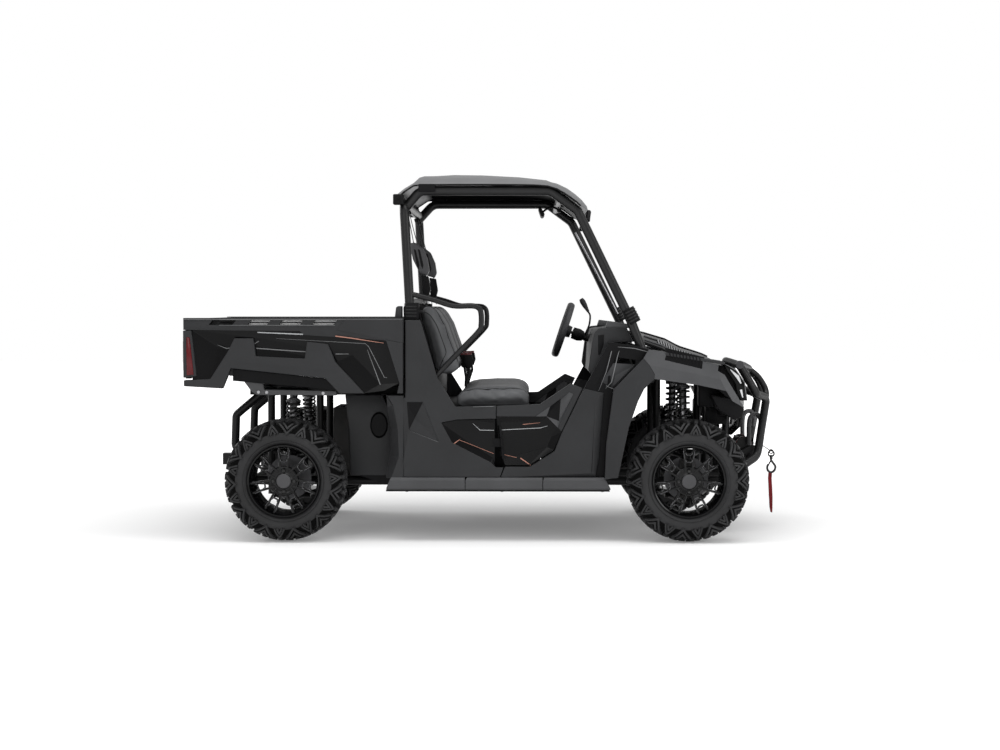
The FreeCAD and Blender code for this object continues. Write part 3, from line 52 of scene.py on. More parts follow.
# The view: level with the cab, well back from the right side
cameraView = {"place": (0.222, -10.2, 1.242), "lens": 64.76, "pitch": 87.835, "yaw": 0.86, "sensor": 36,
              "clipEnd": 200}
camera = bpy.data.objects.new("camera", bpy.data.cameras.new("camera"))
bpy.context.scene.collection.objects.link(camera)
camera.location = cameraView["place"]
camera.rotation_euler = (math.radians(cameraView["pitch"]), 0, math.radians(cameraView["yaw"]))
camera.data.lens = cameraView["lens"]
camera.data.sensor_width = cameraView["sensor"]
camera.data.clip_end = cameraView["clipEnd"]
bpy.context.scene.camera = camera
bpy.context.scene.view_settings.view_transform = "Standard"
print("camera placed")

studio = {"worldLight": 0.62, "floorColor": (0.8, 0.8, 0.8), "floorLift": 0.17, "floorFade": (2.2, 7.0),
          "floorSize": 60, "floorRough": 0.9,
          "overhead": {"place": (0.2, -1.2, 5.2), "aim": (0.1, 0, 0.8), "size": (6.5, 3.2), "power": 210},
          "front": {"place": (5.4, -3.6, 2.6), "aim": (0.8, 0, 0.8), "size": (2.6, 2.6), "power": 75},
          "side": {"place": (-2.2, -7.5, 3.2), "aim": (-0.3, 0, 0.8), "size": (3.4, 2.2), "power": 60},
          "back": {"place": (-4.6, 3.4, 3.2), "aim": (-0.6, 0, 1.0), "size": (3, 2), "power": 60}}


def seenDirectly(tree, kinds):
    path = tree.nodes.new("ShaderNodeLightPath")
    last = path.outputs[kinds[0]]
    for kind in kinds[1:]:
        larger = tree.nodes.new("ShaderNodeMath")
        larger.operation = "MAXIMUM"
        tree.links.new(last, larger.inputs[0])
        tree.links.new(path.outputs[kind], larger.inputs[1])
        last = larger.outputs[0]
    return last


def buildStudio():
    world = bpy.data.worlds.new("studio")
    bpy.context.scene.world = world
    world.use_nodes = True
    tree = world.node_tree
    background = tree.nodes["Background"]
    background.inputs["Color"].default_value = (1, 1, 1, 1)
    level = tree.nodes.new("ShaderNodeMapRange")
    tree.links.new(seenDirectly(tree, ["Is Camera Ray", "Is Transmission Ray"]), level.inputs["Value"])
    level.inputs["To Min"].default_value = studio["worldLight"]
    level.inputs["To Max"].default_value = 1.0
    tree.links.new(level.outputs[0], background.inputs["Strength"])
    half = studio["floorSize"] / 2
    mesh = bpy.data.meshes.new("floorSheet")
    mesh.from_pydata([(-half, -half, 0), (half, -half, 0), (half, half, 0), (-half, half, 0)], [],
                     [(0, 1, 2, 3)])
    sheet = bpy.data.objects.new("floorSheet", mesh)
    bpy.context.scene.collection.objects.link(sheet)
    material = bpy.data.materials.new("floorPaper")
    material.use_nodes = True
    tree = material.node_tree
    shader = tree.nodes["Principled BSDF"]
    shader.inputs["Base Color"].default_value = (*studio["floorColor"], 1)
    shader.inputs["Roughness"].default_value = studio["floorRough"]
    shader.inputs["Specular IOR Level"].default_value = 0.0
    shader.inputs["Emission Color"].default_value = (1, 1, 1, 1)
    place = tree.nodes.new("ShaderNodeTexCoord")
    reach = tree.nodes.new("ShaderNodeVectorMath")
    reach.operation = "LENGTH"
    tree.links.new(place.outputs["Object"], reach.inputs[0])
    fade = tree.nodes.new("ShaderNodeMapRange")
    fade.interpolation_type = "SMOOTHSTEP"
    fade.inputs["From Min"].default_value, fade.inputs["From Max"].default_value = studio["floorFade"]
    fade.inputs["To Min"].default_value = studio["floorLift"]
    tree.links.new(reach.outputs["Value"], fade.inputs["Value"])
    lift = tree.nodes.new("ShaderNodeMath")
    lift.operation = "MULTIPLY"
    tree.links.new(seenDirectly(tree, ["Is Camera Ray", "Is Glossy Ray", "Is Transmission Ray"]),
                   lift.inputs[0])
    tree.links.new(fade.outputs[0], lift.inputs[1])
    tree.links.new(lift.outputs[0], shader.inputs["Emission Strength"])
    mesh.materials.append(material)
    for name in ("overhead", "front", "side", "back"):
        spec = studio[name]
        lamp = bpy.data.lights.new(name, "AREA")
        lamp.shape = "RECTANGLE"
        lamp.size, lamp.size_y = spec["size"]
        lamp.energy = spec["power"]
        holder = bpy.data.objects.new(name, lamp)
        bpy.context.scene.collection.objects.link(holder)
        holder.location = spec["place"]
        facing = Vector(spec["aim"]) - Vector(spec["place"])
        holder.rotation_euler = facing.to_track_quat("-Z", "Y").to_euler()


buildStudio()
print("studio lit")

# Finishes: base tone, clouding, roughness, specular level, grain scale, bump strength, then any extras
finishKeys = ("color", "cloud", "rough", "specular", "grain", "bump")
finishes = {
    "moldedPanel": ((0.021, 0.0215, 0.023), 0.18, 0.5, 0.28, 520, 0.06),
    "moldedLight": ((0.058, 0.059, 0.062), 0.14, 0.48, 0.35, 520, 0.06),
    "moldedDark": ((0.005, 0.005, 0.0055), 0.25, 0.55, 0.12, 420, 0.08),
    # light grey laid in thin strips and slats where edges and creases catch the light: painted highlights
    "paintedHighlightGrey": ((0.16, 0.162, 0.166), 0.15, 0.4, 0.4, 520, 0.03),
    "paleBacking": ((0.93, 0.93, 0.93), 0.04, 0.7, 0.2, 300, 0.02),
    "glossPanel": ((0.003, 0.003, 0.0033), 0.2, 0.18, 0.13, 60, 0.01),
    "cageSteel": ((0.008, 0.008, 0.0085), 0.2, 0.38, 0.3, 900, 0.05),
    "chassisSteel": ((0.006, 0.006, 0.0065), 0.35, 0.42, 0.25, 500, 0.08),
    "springSteel": ((0.008, 0.008, 0.008), 0.2, 0.28, 0.5, 300, 0.03),
    "castIron": ((0.030, 0.029, 0.028), 0.5, 0.6, 0.4, 340, 0.25),
    "castAlloy": ((0.24, 0.24, 0.245), 0.3, 0.42, 0.5, 420, 0.12, {"metal": 0.8}),
    # rubber far darker than the tyre's own, for the floors between the lugs: painted shade
    "tyreGrooveShade": ((0.003, 0.003, 0.003), 0.3, 0.85, 0.08, 260, 0.12),
    "tyreRubber": ((0.022, 0.022, 0.023), 0.35, 0.6, 0.32, 260, 0.12),
    # bright metal strips along the spoke edges where highlights fall: milled accents and painted highlights
    # both
    "milledEdgeHighlight": ((0.20, 0.20, 0.21), 0.2, 0.25, 0.5, 300, 0.02, {"metal": 0.9}),
    "brakeDisc": ((0.075, 0.075, 0.078), 0.25, 0.35, 0.5, 500, 0.05, {"metal": 0.9}),
    "rimPaint": ((0.0025, 0.0025, 0.0028), 0.2, 0.22, 0.18, 120, 0.01, {"coat": 0.15}),
    "hubGrey": ((0.055, 0.055, 0.058), 0.2, 0.45, 0.4, 400, 0.05),
    "vinyl": ((0.088, 0.090, 0.094), 0.2, 0.5, 0.35, 380, 0.16, {"pebble": True}),
    "vinylSeam": ((0.014, 0.014, 0.015), 0.2, 0.6, 0.3, 380, 0.1),
    "roofShell": ((0.105, 0.106, 0.109), 0.14, 0.42, 0.4, 520, 0.05),
    "webbing": ((0.012, 0.012, 0.013), 0.3, 0.8, 0.2, 700, 0.35, {"weave": True, "sheen": 0.3}),
    "gripRubber": ((0.016, 0.016, 0.017), 0.3, 0.62, 0.3, 620, 0.12),
    "gripGrey": ((0.05, 0.05, 0.053), 0.2, 0.5, 0.3, 620, 0.08),
    "redWebbing": ((0.20, 0.008, 0.012), 0.3, 0.75, 0.2, 700, 0.35, {"weave": True, "sheen": 0.3}),
    "redPlastic": ((0.09, 0.005, 0.008), 0.25, 0.3, 0.4, 200, 0.03),
    "lampRed": ((0.10, 0.002, 0.004), 0.3, 0.22, 0.25, 90, 0.05, {"coat": 0.1}),
    "silverStripe": ((0.40, 0.41, 0.42), 0.12, 0.35, 0.5, 300, 0.01, {"metal": 0.5}),
    "roseStripe": ((0.42, 0.20, 0.15), 0.15, 0.35, 0.5, 300, 0.01, {"metal": 0.5}),
    "chromeTrim": ((0.62, 0.63, 0.64), 0.08, 0.14, 0.5, 300, 0.01, {"metal": 1.0}),
    "brightSteel": ((0.32, 0.32, 0.33), 0.3, 0.34, 0.5, 500, 0.06, {"metal": 1.0}),
    "mirrorGlass": ((0.55, 0.57, 0.60), 0.05, 0.04, 0.5, 50, 0.0, {"metal": 1.0}),
}
finishMake = {"cloudScale": 4.5, "cloudDetail": 5, "ramp": (0.3, 0.7), "weaveShare": 0.35, "weaveBend": 1.5,
              "bumpDepth": 0.002, "leastRough": 0.02, "roughRange": (0.86, 1.14), "coatRough": 0.06}
looks = {}


def buildFinish(name, spec):
    material = bpy.data.materials.new(name)
    material.use_nodes = True
    tree = material.node_tree
    link = tree.links.new
    shader = tree.nodes["Principled BSDF"]
    local = tree.nodes.new("ShaderNodeTexCoord").outputs["Object"]
    cloud = tree.nodes.new("ShaderNodeTexNoise")
    cloud.inputs["Scale"].default_value = finishMake["cloudScale"]
    cloud.inputs["Detail"].default_value = finishMake["cloudDetail"]
    link(local, cloud.inputs["Vector"])
    tone = tree.nodes.new("ShaderNodeValToRGB")
    for element, place, share in zip(tone.color_ramp.elements, finishMake["ramp"],
                                     (1 - spec["cloud"], 1 + spec["cloud"])):
        element.position = place
        element.color = (*[min(1, c * share) for c in spec["color"]], 1)
    link(cloud.outputs["Fac"], tone.inputs["Fac"])
    link(tone.outputs["Color"], shader.inputs["Base Color"])
    fine = tree.nodes.new("ShaderNodeTexVoronoi" if spec.get("pebble") else "ShaderNodeTexNoise")
    fine.inputs["Scale"].default_value = spec["grain"]
    link(local, fine.inputs["Vector"])
    grain = fine.outputs["Distance" if spec.get("pebble") else "Fac"]
    if spec.get("weave"):
        ribs = tree.nodes.new("ShaderNodeTexWave")
        ribs.bands_direction = "DIAGONAL"
        ribs.inputs["Scale"].default_value = spec["grain"] * finishMake["weaveShare"]
        ribs.inputs["Distortion"].default_value = finishMake["weaveBend"]
        link(local, ribs.inputs["Vector"])
        grain = ribs.outputs["Fac"]
    bump = tree.nodes.new("ShaderNodeBump")
    bump.inputs["Strength"].default_value = spec["bump"]
    bump.inputs["Distance"].default_value = finishMake["bumpDepth"]
    link(grain, bump.inputs["Height"])
    link(bump.outputs["Normal"], shader.inputs["Normal"])
    sheen = tree.nodes.new("ShaderNodeMapRange")
    sheen.inputs["To Min"].default_value = max(finishMake["leastRough"],
                                               spec["rough"] * finishMake["roughRange"][0])
    sheen.inputs["To Max"].default_value = min(1, spec["rough"] * finishMake["roughRange"][1])
    link(cloud.outputs["Fac"], sheen.inputs["Value"])
    link(sheen.outputs[0], shader.inputs["Roughness"])
    shader.inputs["Metallic"].default_value = spec.get("metal", 0.0)
    shader.inputs["Specular IOR Level"].default_value = spec["specular"]
    shader.inputs["Coat Weight"].default_value = spec.get("coat", 0.0)
    shader.inputs["Coat Roughness"].default_value = finishMake["coatRough"]
    shader.inputs["Sheen Weight"].default_value = spec.get("sheen", 0.0)
    return material


for finishName, row in finishes.items():
    extras = row[len(finishKeys)] if len(row) > len(finishKeys) else {}
    looks[finishName] = buildFinish(finishName, dict(zip(finishKeys, row), **extras))
print("finishes made")


def addPiece(name, mesh, finishName, body):
    piece = bpy.data.objects.new(name, mesh)
    bpy.context.scene.collection.objects.link(piece)
    if not mesh.materials:
        mesh.materials.append(looks[finishName])
    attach(piece, body)
    return piece


creases = {"facet": 4, "hard": 30, "plain": 35, "soft": 50}


def smoothByAngle(mesh, degrees):
    mesh.polygons.foreach_set("use_smooth", [True] * len(mesh.polygons))
    mesh.set_sharp_from_angle(angle=math.radians(degrees))


def finishModifiers(piece):
    bpy.context.view_layer.update()
    made = bpy.data.meshes.new_from_object(piece.evaluated_get(bpy.context.evaluated_depsgraph_get()))
    piece.modifiers.clear()
    piece.data = made
    return piece


# CAD meshes: points closer than gap are joined, faces within flat degrees merged, edges rounded by width
softMake = {"gap": 0.00005, "flat": 1.5, "width": 0.004, "crease": 40}


def mergedCopy(node):
    work = bmesh.new()
    work.from_mesh(nodes[node].data)
    bmesh.ops.remove_doubles(work, verts=work.verts, dist=softMake["gap"])
    bmesh.ops.dissolve_limit(work, angle_limit=math.radians(softMake["flat"]), verts=work.verts,
                             edges=work.edges)
    mesh = bpy.data.meshes.new(node + "Soft")
    work.to_mesh(mesh)
    work.free()
    mesh.materials.clear()
    return mesh


def roundedMesh(mesh, width, segments=2, degrees=25):
    holder = bpy.data.objects.new("holder", mesh)
    bpy.context.scene.collection.objects.link(holder)
    rounding = holder.modifiers.new("rounding", "BEVEL")
    rounding.width = width
    rounding.segments = segments
    rounding.limit_method = "ANGLE"
    rounding.angle_limit = math.radians(degrees)
    finishModifiers(holder)
    made = holder.data
    bpy.data.objects.remove(holder)
    return made


def softened(node, finishName):
    mesh = roundedMesh(mergedCopy(node), softMake["width"])
    smoothByAngle(mesh, softMake["crease"])
    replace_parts(addPiece(node + "Soft", mesh, finishName, bodyOf[node]), node)


# CAD pieces that keep their mesh and take a better finish
dressed = {"moldedDark": ["mud_guards"],
           "chassisSteel": ["frame_lower", "axle_posts", "frame_upper", "frame_front", "front_arms",
                            "rear_arms", "rear_drive", "front_drive", "steering_column", "steering_rack"],
           "castIron": ["knuckle_left", "knuckle_right", "engine_block"],
           "cageSteel": ["roll_cage"]}
for finishName, names in dressed.items():
    for node in names:
        nodes[node].data.materials.clear()
        nodes[node].data.materials.append(looks[finishName])

# CAD pieces whose edges are rounded over
rounded = {"moldedPanel": ["bed_box", "tailgate", "dash"],
           "moldedDark": ["floor", "seat_box"],
           "glossPanel": ["hood", "front_fascia", "headlights"]}
for finishName, names in rounded.items():
    for node in names:
        softened(node, finishName)
print("frame dressed")


def meshOf(name, verts, faces):
    mesh = bpy.data.meshes.new(name)
    mesh.from_pydata([tuple(v) for v in verts], [], faces)
    mesh.validate()
    return mesh


def outwards(mesh):
    work = bmesh.new()
    work.from_mesh(mesh)
    bmesh.ops.remove_doubles(work, verts=work.verts, dist=0.000001)
    bmesh.ops.recalc_face_normals(work, faces=work.faces)
    work.to_mesh(mesh)
    work.free()
    return mesh


def joinMeshes(name, meshes):
    work = bmesh.new()
    for mesh in meshes:
        work.from_mesh(mesh)
    joined = bpy.data.meshes.new(name)
    work.to_mesh(joined)
    work.free()
    for mesh in meshes:
        bpy.data.meshes.remove(mesh)
    return joined


def mirroredMesh(mesh):
    copy = mesh.copy()
    copy.transform(Matrix.Scale(-1, 4, (0, 1, 0)))
    copy.flip_normals()
    return copy


def placed(name, parts, finishName, node, replaces=False, crease=creases["plain"]):
    mesh = joinMeshes(name, parts)
    smoothByAngle(mesh, crease)
    piece = addPiece(name, mesh, finishName, bodyOf[node])
    if replaces:
        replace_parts(piece, node)
    return piece


def twoSided(parts):
    return parts + [mirroredMesh(part) for part in parts]


def ringFaces(rows, sides, closed):
    # quads between rows of sides points each; an open run is capped at both ends
    faces = []
    for row in range(rows if closed else rows - 1):
        here, after = row * sides, (row + 1) % rows * sides
        for index in range(sides):
            ahead = (index + 1) % sides
            faces.append((here + index, here + ahead, after + ahead, after + index))
    if not closed:
        faces.append(tuple(range(sides)))
        faces.append(tuple((rows - 1) * sides + index for index in range(sides)))
    return faces


def lathe(name, profile, start, axis, segments=64, closed=False):
    # profile of (distance along the axis, radius); a closed one makes a ring
    axis = Vector(axis).normalized()
    side = axis.orthogonal().normalized()
    other = axis.cross(side)
    verts = []
    for along, radius in profile:
        for index in range(segments):
            turn = 2 * math.pi * index / segments
            verts.append(Vector(start) + axis * along + (side * math.cos(turn) + other * math.sin(turn))
                         * radius)
    faces = ringFaces(len(profile), segments, closed)
    return outwards(meshOf(name, verts, faces))


def tube(name, points, radius, sides=12, closed=False):
    points = [Vector(p) for p in points]
    count = len(points)
    frames = []
    normal = None
    for index, point in enumerate(points):
        before = points[index - 1] if closed or index else point
        after = points[(index + 1) % count] if closed or index < count - 1 else point
        heading = (after - before).normalized()
        normal = heading.orthogonal() if normal is None else normal - heading * normal.dot(heading)
        normal.normalize()
        frames.append((point, normal.copy(), heading.cross(normal)))
    verts = []
    for point, first, second in frames:
        for index in range(sides):
            turn = 2 * math.pi * index / sides
            verts.append(point + (first * math.cos(turn) + second * math.sin(turn)) * radius)
    faces = ringFaces(count, sides, closed)
    return outwards(meshOf(name, verts, faces))


def prism(name, outline, low, high, width=0, segments=2, degrees=25):
    # outline of (x, z) points drawn out along y from low to high, its edges rounded by width
    count = len(outline)
    verts = [(x, low, z) for x, z in outline] + [(x, high, z) for x, z in outline]
    faces = [tuple(range(count)), tuple(range(count, 2 * count))]
    faces += [(i, (i + 1) % count, count + (i + 1) % count, count + i) for i in range(count)]
    mesh = outwards(meshOf(name, verts, faces))
    return roundedMesh(mesh, width, segments, degrees) if width else mesh


def cuboid(name, low, high, width=0, segments=2):
    outline = [(low[0], low[2]), (high[0], low[2]), (high[0], high[2]), (low[0], high[2])]
    return prism(name, outline, low[1], high[1], width, segments)


def buildRepeatTree():
    # copies the mesh Count times, each turned by Angle about Centre and moved on by Step
    tree = bpy.data.node_groups.new("repeatCopies", "GeometryNodeTree")
    for socket, kind in (("Geometry", "Geometry"), ("Count", "Int"), ("Angle", "Vector"),
                         ("Step", "Vector"), ("Centre", "Vector"), ("Finish", "Material")):
        tree.interface.new_socket(socket, in_out="INPUT", socket_type="NodeSocket" + kind)
    tree.interface.new_socket("Geometry", in_out="OUTPUT", socket_type="NodeSocketGeometry")
    add, link = tree.nodes.new, tree.links.new
    given, result = add("NodeGroupInput"), add("NodeGroupOutput")
    line = add("GeometryNodeMeshLine")
    link(given.outputs["Count"], line.inputs["Count"])
    link(given.outputs["Centre"], line.inputs["Start Location"])
    link(given.outputs["Step"], line.inputs["Offset"])
    back = add("ShaderNodeVectorMath")
    back.operation = "SCALE"
    back.inputs["Scale"].default_value = -1
    link(given.outputs["Centre"], back.inputs[0])
    shift = add("GeometryNodeTransform")
    link(given.outputs["Geometry"], shift.inputs["Geometry"])
    link(back.outputs[0], shift.inputs["Translation"])
    index = add("GeometryNodeInputIndex")
    turn = add("ShaderNodeVectorMath")
    turn.operation = "SCALE"
    link(given.outputs["Angle"], turn.inputs[0])
    link(index.outputs[0], turn.inputs["Scale"])
    asRotation = add("FunctionNodeEulerToRotation")
    link(turn.outputs[0], asRotation.inputs[0])
    copies = add("GeometryNodeInstanceOnPoints")
    link(line.outputs["Mesh"], copies.inputs["Points"])
    link(shift.outputs["Geometry"], copies.inputs["Instance"])
    link(asRotation.outputs[0], copies.inputs["Rotation"])
    real = add("GeometryNodeRealizeInstances")
    link(copies.outputs["Instances"], real.inputs["Geometry"])
    paint = add("GeometryNodeSetMaterial")
    link(real.outputs["Geometry"], paint.inputs["Geometry"])
    link(given.outputs["Finish"], paint.inputs["Material"])
    link(paint.outputs["Geometry"], result.inputs["Geometry"])
    return tree


repeatTree = buildRepeatTree()


def repeated(mesh, count, finishName, angle=(0, 0, 0), step=(0, 0, 0), centre=(0, 0, 0)):
    holder = bpy.data.objects.new("holder", mesh)
    bpy.context.scene.collection.objects.link(holder)
    copies = holder.modifiers.new("copies", "NODES")
    copies.node_group = repeatTree
    values = {"Count": count, "Angle": angle, "Step": step, "Centre": centre, "Finish": looks[finishName]}
    for item in repeatTree.interface.items_tree:
        if item.in_out == "INPUT" and item.name in values:
            copies[item.identifier] = values[item.name]
    finishModifiers(holder)
    made = holder.data
    bpy.data.objects.remove(holder)
    return made


# Tyres: a smooth carcass with chevron lugs set round both shoulders and the crown, the carcass between the
# lugs darkened as painted shade
tyreMake = {"pitches": 11, "radius": 0.325, "sides": 132,
            "carcass": [(0.62, 0.184), (0.80, 0.189), (0.90, 0.199), (0.965, 0.216), (0.99, 0.236),
                        (0.965, 0.255), (0.925, 0.268), (0.87, 0.281), (0.78, 0.293), (0.62, 0.301),
                        (0.35, 0.3065), (0.0, 0.308)],
            "shoulder": [((-9.6, 55), (0, 4), (9.2, 52)), ((-5.4, 58), (0, 27), (5.2, 56)),
                         ((10.6, 4), (16.3, 46), (22.2, 6)), ((13.2, 3), (16.3, 24), (19.4, 3))],
            "crown": [((-9.6, 62), (-6.5, 92), (-11.5, 128)), ((9.2, 60), (5.5, 92), (9.5, 126)),
                      ((-2.2, 66), (0.4, 104)), ((16.3, 56), (16.3, 84)), ((-3.5, 122), (2.5, 148)),
                      ((17.5, 104), (14.5, 138)), ((22.6, 60), (21, 98))],
            "barWidth": 0.0125, "crownWidth": 0.021, "height": 0.0165, "shoulderHeight": 0.0125,
            "grooveShadeFrom": 0.254, "stretch": 1.14,
            "flatRadius": 0.3, "sink": 0.003, "topShare": 0.36, "steps": 4, "sharpest": 0.35,
            "clear": 0.0002, "seedTurn": 7,
            "margin": 0.001, "lugsFrom": 0.010, "bead": 0.178, "beadShare": 0.6, "crease": 32}


def tyreSection(half):
    points = [(half * share, radius) for share, radius in tyreMake["carcass"]]
    lengths = [0.0]
    for before, after in zip(points, points[1:]):
        lengths.append(lengths[-1] + math.dist(before, after))
    return points, lengths


def onTyre(section, degrees, along, lift):
    points, lengths = section
    index = max(i for i, value in enumerate(lengths) if value <= along or i == 0)
    index = min(index, len(points) - 2)
    share = (along - lengths[index]) / (lengths[index + 1] - lengths[index])
    y = points[index][0] + (points[index + 1][0] - points[index][0]) * share
    r = points[index][1] + (points[index + 1][1] - points[index][1]) * share
    run = Vector((points[index + 1][0] - points[index][0],
                  points[index + 1][1] - points[index][1])).normalized()
    y, r = y + run.y * lift, min(tyreMake["radius"] - tyreMake["clear"], r - run.x * lift)
    turn = math.radians(degrees)
    return Vector((r * math.sin(turn), y, r * math.cos(turn)))


def lugBar(section, route, start, width, height):
    # one raised bar along a route of (degrees, millimetres up the carcass)
    steps, flatRadius = tyreMake["steps"], tyreMake["flatRadius"]
    sink, top = tyreMake["sink"], tyreMake["topShare"]
    spots = []
    route = [(a, t * tyreMake["stretch"]) for a, t in route]
    for (a0, t0), (a1, t1) in zip(route, route[1:]):
        spots += [(a0 + (a1 - a0) * step / steps, t0 + (t1 - t0) * step / steps) for step in range(steps)]
    spots.append(route[-1])
    limit = section[1][-1] - tyreMake["margin"]
    flat = [Vector((math.radians(a) * flatRadius, start + t / 1000)) for a, t in spots]
    verts = []
    for index, spot in enumerate(flat):
        ahead = flat[min(index + 1, len(flat) - 1)] - flat[max(index - 1, 0)]
        side = Vector((-ahead.y, ahead.x)).normalized()
        widen = 1.0
        if 0 < index < len(flat) - 1:
            bend = (flat[index + 1] - spot).angle(spot - flat[index - 1])
            widen = 1 / max(tyreMake["sharpest"], math.cos(bend / 2))
        for share, lift in ((-0.5, -sink), (-top, height), (top, height), (0.5, -sink)):
            place = spot + side * (width * share * widen)
            verts.append(onTyre(section, math.degrees(place.x / flatRadius), min(limit, max(0, place.y)),
                                lift))
    return outwards(meshOf("lug", verts, ringFaces(len(flat), 4, False)))


def buildTyre(node, seed):
    low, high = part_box(node)
    centre = (low + high) / 2
    half = (high.y - low.y) / 2
    section = tyreSection(half)
    start = section[1][4] + tyreMake["lugsFrom"]
    pitch = 360 / tyreMake["pitches"]
    bars = [lugBar(section, route, start, tyreMake["barWidth"], tyreMake["shoulderHeight"])
            for route in tyreMake["shoulder"]]
    bars += [lugBar(section, route, start, tyreMake["crownWidth"], tyreMake["height"])
             for route in tyreMake["crown"]]
    otherSide = [mirroredMesh(bar) for bar in bars]
    for bar in otherSide:
        bar.transform(Matrix.Rotation(math.radians(pitch / 2), 4, "Y"))
    onePitch = joinMeshes("pitch", bars + otherSide)
    onePitch.transform(Matrix.Rotation(math.radians(seed * tyreMake["seedTurn"]), 4, "Y"))
    lugs = repeated(onePitch, tyreMake["pitches"], "tyreRubber", angle=(0, math.radians(pitch), 0))
    outline = [(y, r) for y, r in section[0]]
    ring = outline + [(-y, r) for y, r in reversed(outline[:-1])]
    ring += [(way * half * tyreMake["beadShare"], tyreMake["bead"]) for way in (-1, 1)]
    carcass = lathe("carcass", ring, (0, 0, 0), (0, 1, 0), tyreMake["sides"], closed=True)
    rib = [(half * 0.963, 0.2065), (half * 0.99, 0.208), (half * 0.99, 0.2115), (half * 0.965, 0.213)]
    ribs = [lathe("rib", rib, (0, 0, 0), (0, 1, 0), segments=96, closed=True)]
    ribs.append(mirroredMesh(ribs[0]))
    # carcass faces out at the shoulders and crown, seen between the lugs, take the darker rubber: painted
    # shade in the grooves
    grooved = [math.hypot(face.center.x, face.center.z) > tyreMake["grooveShadeFrom"]
               for face in carcass.polygons]
    mesh = joinMeshes(node + "Lugged", [carcass, lugs] + ribs)
    mesh.transform(Matrix.Translation(centre))
    mesh.materials.clear()
    mesh.materials.append(looks["tyreRubber"])
    mesh.materials.append(looks["tyreGrooveShade"])
    for face, dark in zip(mesh.polygons, grooved):
        face.material_index = int(dark)
    smoothByAngle(mesh, tyreMake["crease"])
    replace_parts(addPiece(node + "Lugged", mesh, "tyreRubber", bodyOf[node]), node)


for seed, node in enumerate(("front_tyre_left", "front_tyre_right", "rear_tyre_left", "rear_tyre_right")):
    buildTyre(node, seed)
print("tyres made")

# Rims: barrel, seven ladder spokes with milled edge strips that also stand in for painted highlights, hub
# plate, nuts and cap
rimMake = {"spokes": 7, "lip": 0.1905, "barrel": 0.172, "plate": 0.080, "cap": 0.0375, "nuts": 4,
           "nutRing": 0.055,
           "rail": 0.0115, "gap": 0.036, "rungs": (0.104, 0.142), "depth": 0.024,
           "lipIn": 0.012, "faceIn": 0.013, "overlap": 0.005, "flare": 0.008}


def rimPart(meshes, finishName, node, tag, centre, side):
    mesh = joinMeshes(node + tag, meshes)
    if side < 0:
        mirror = mirroredMesh(mesh)
        bpy.data.meshes.remove(mesh)
        mesh = mirror
    mesh.transform(Matrix.Translation(centre))
    mesh.materials.clear()
    smoothByAngle(mesh, creases["plain"])
    return addPiece(node + tag, mesh, finishName, bodyOf[node])


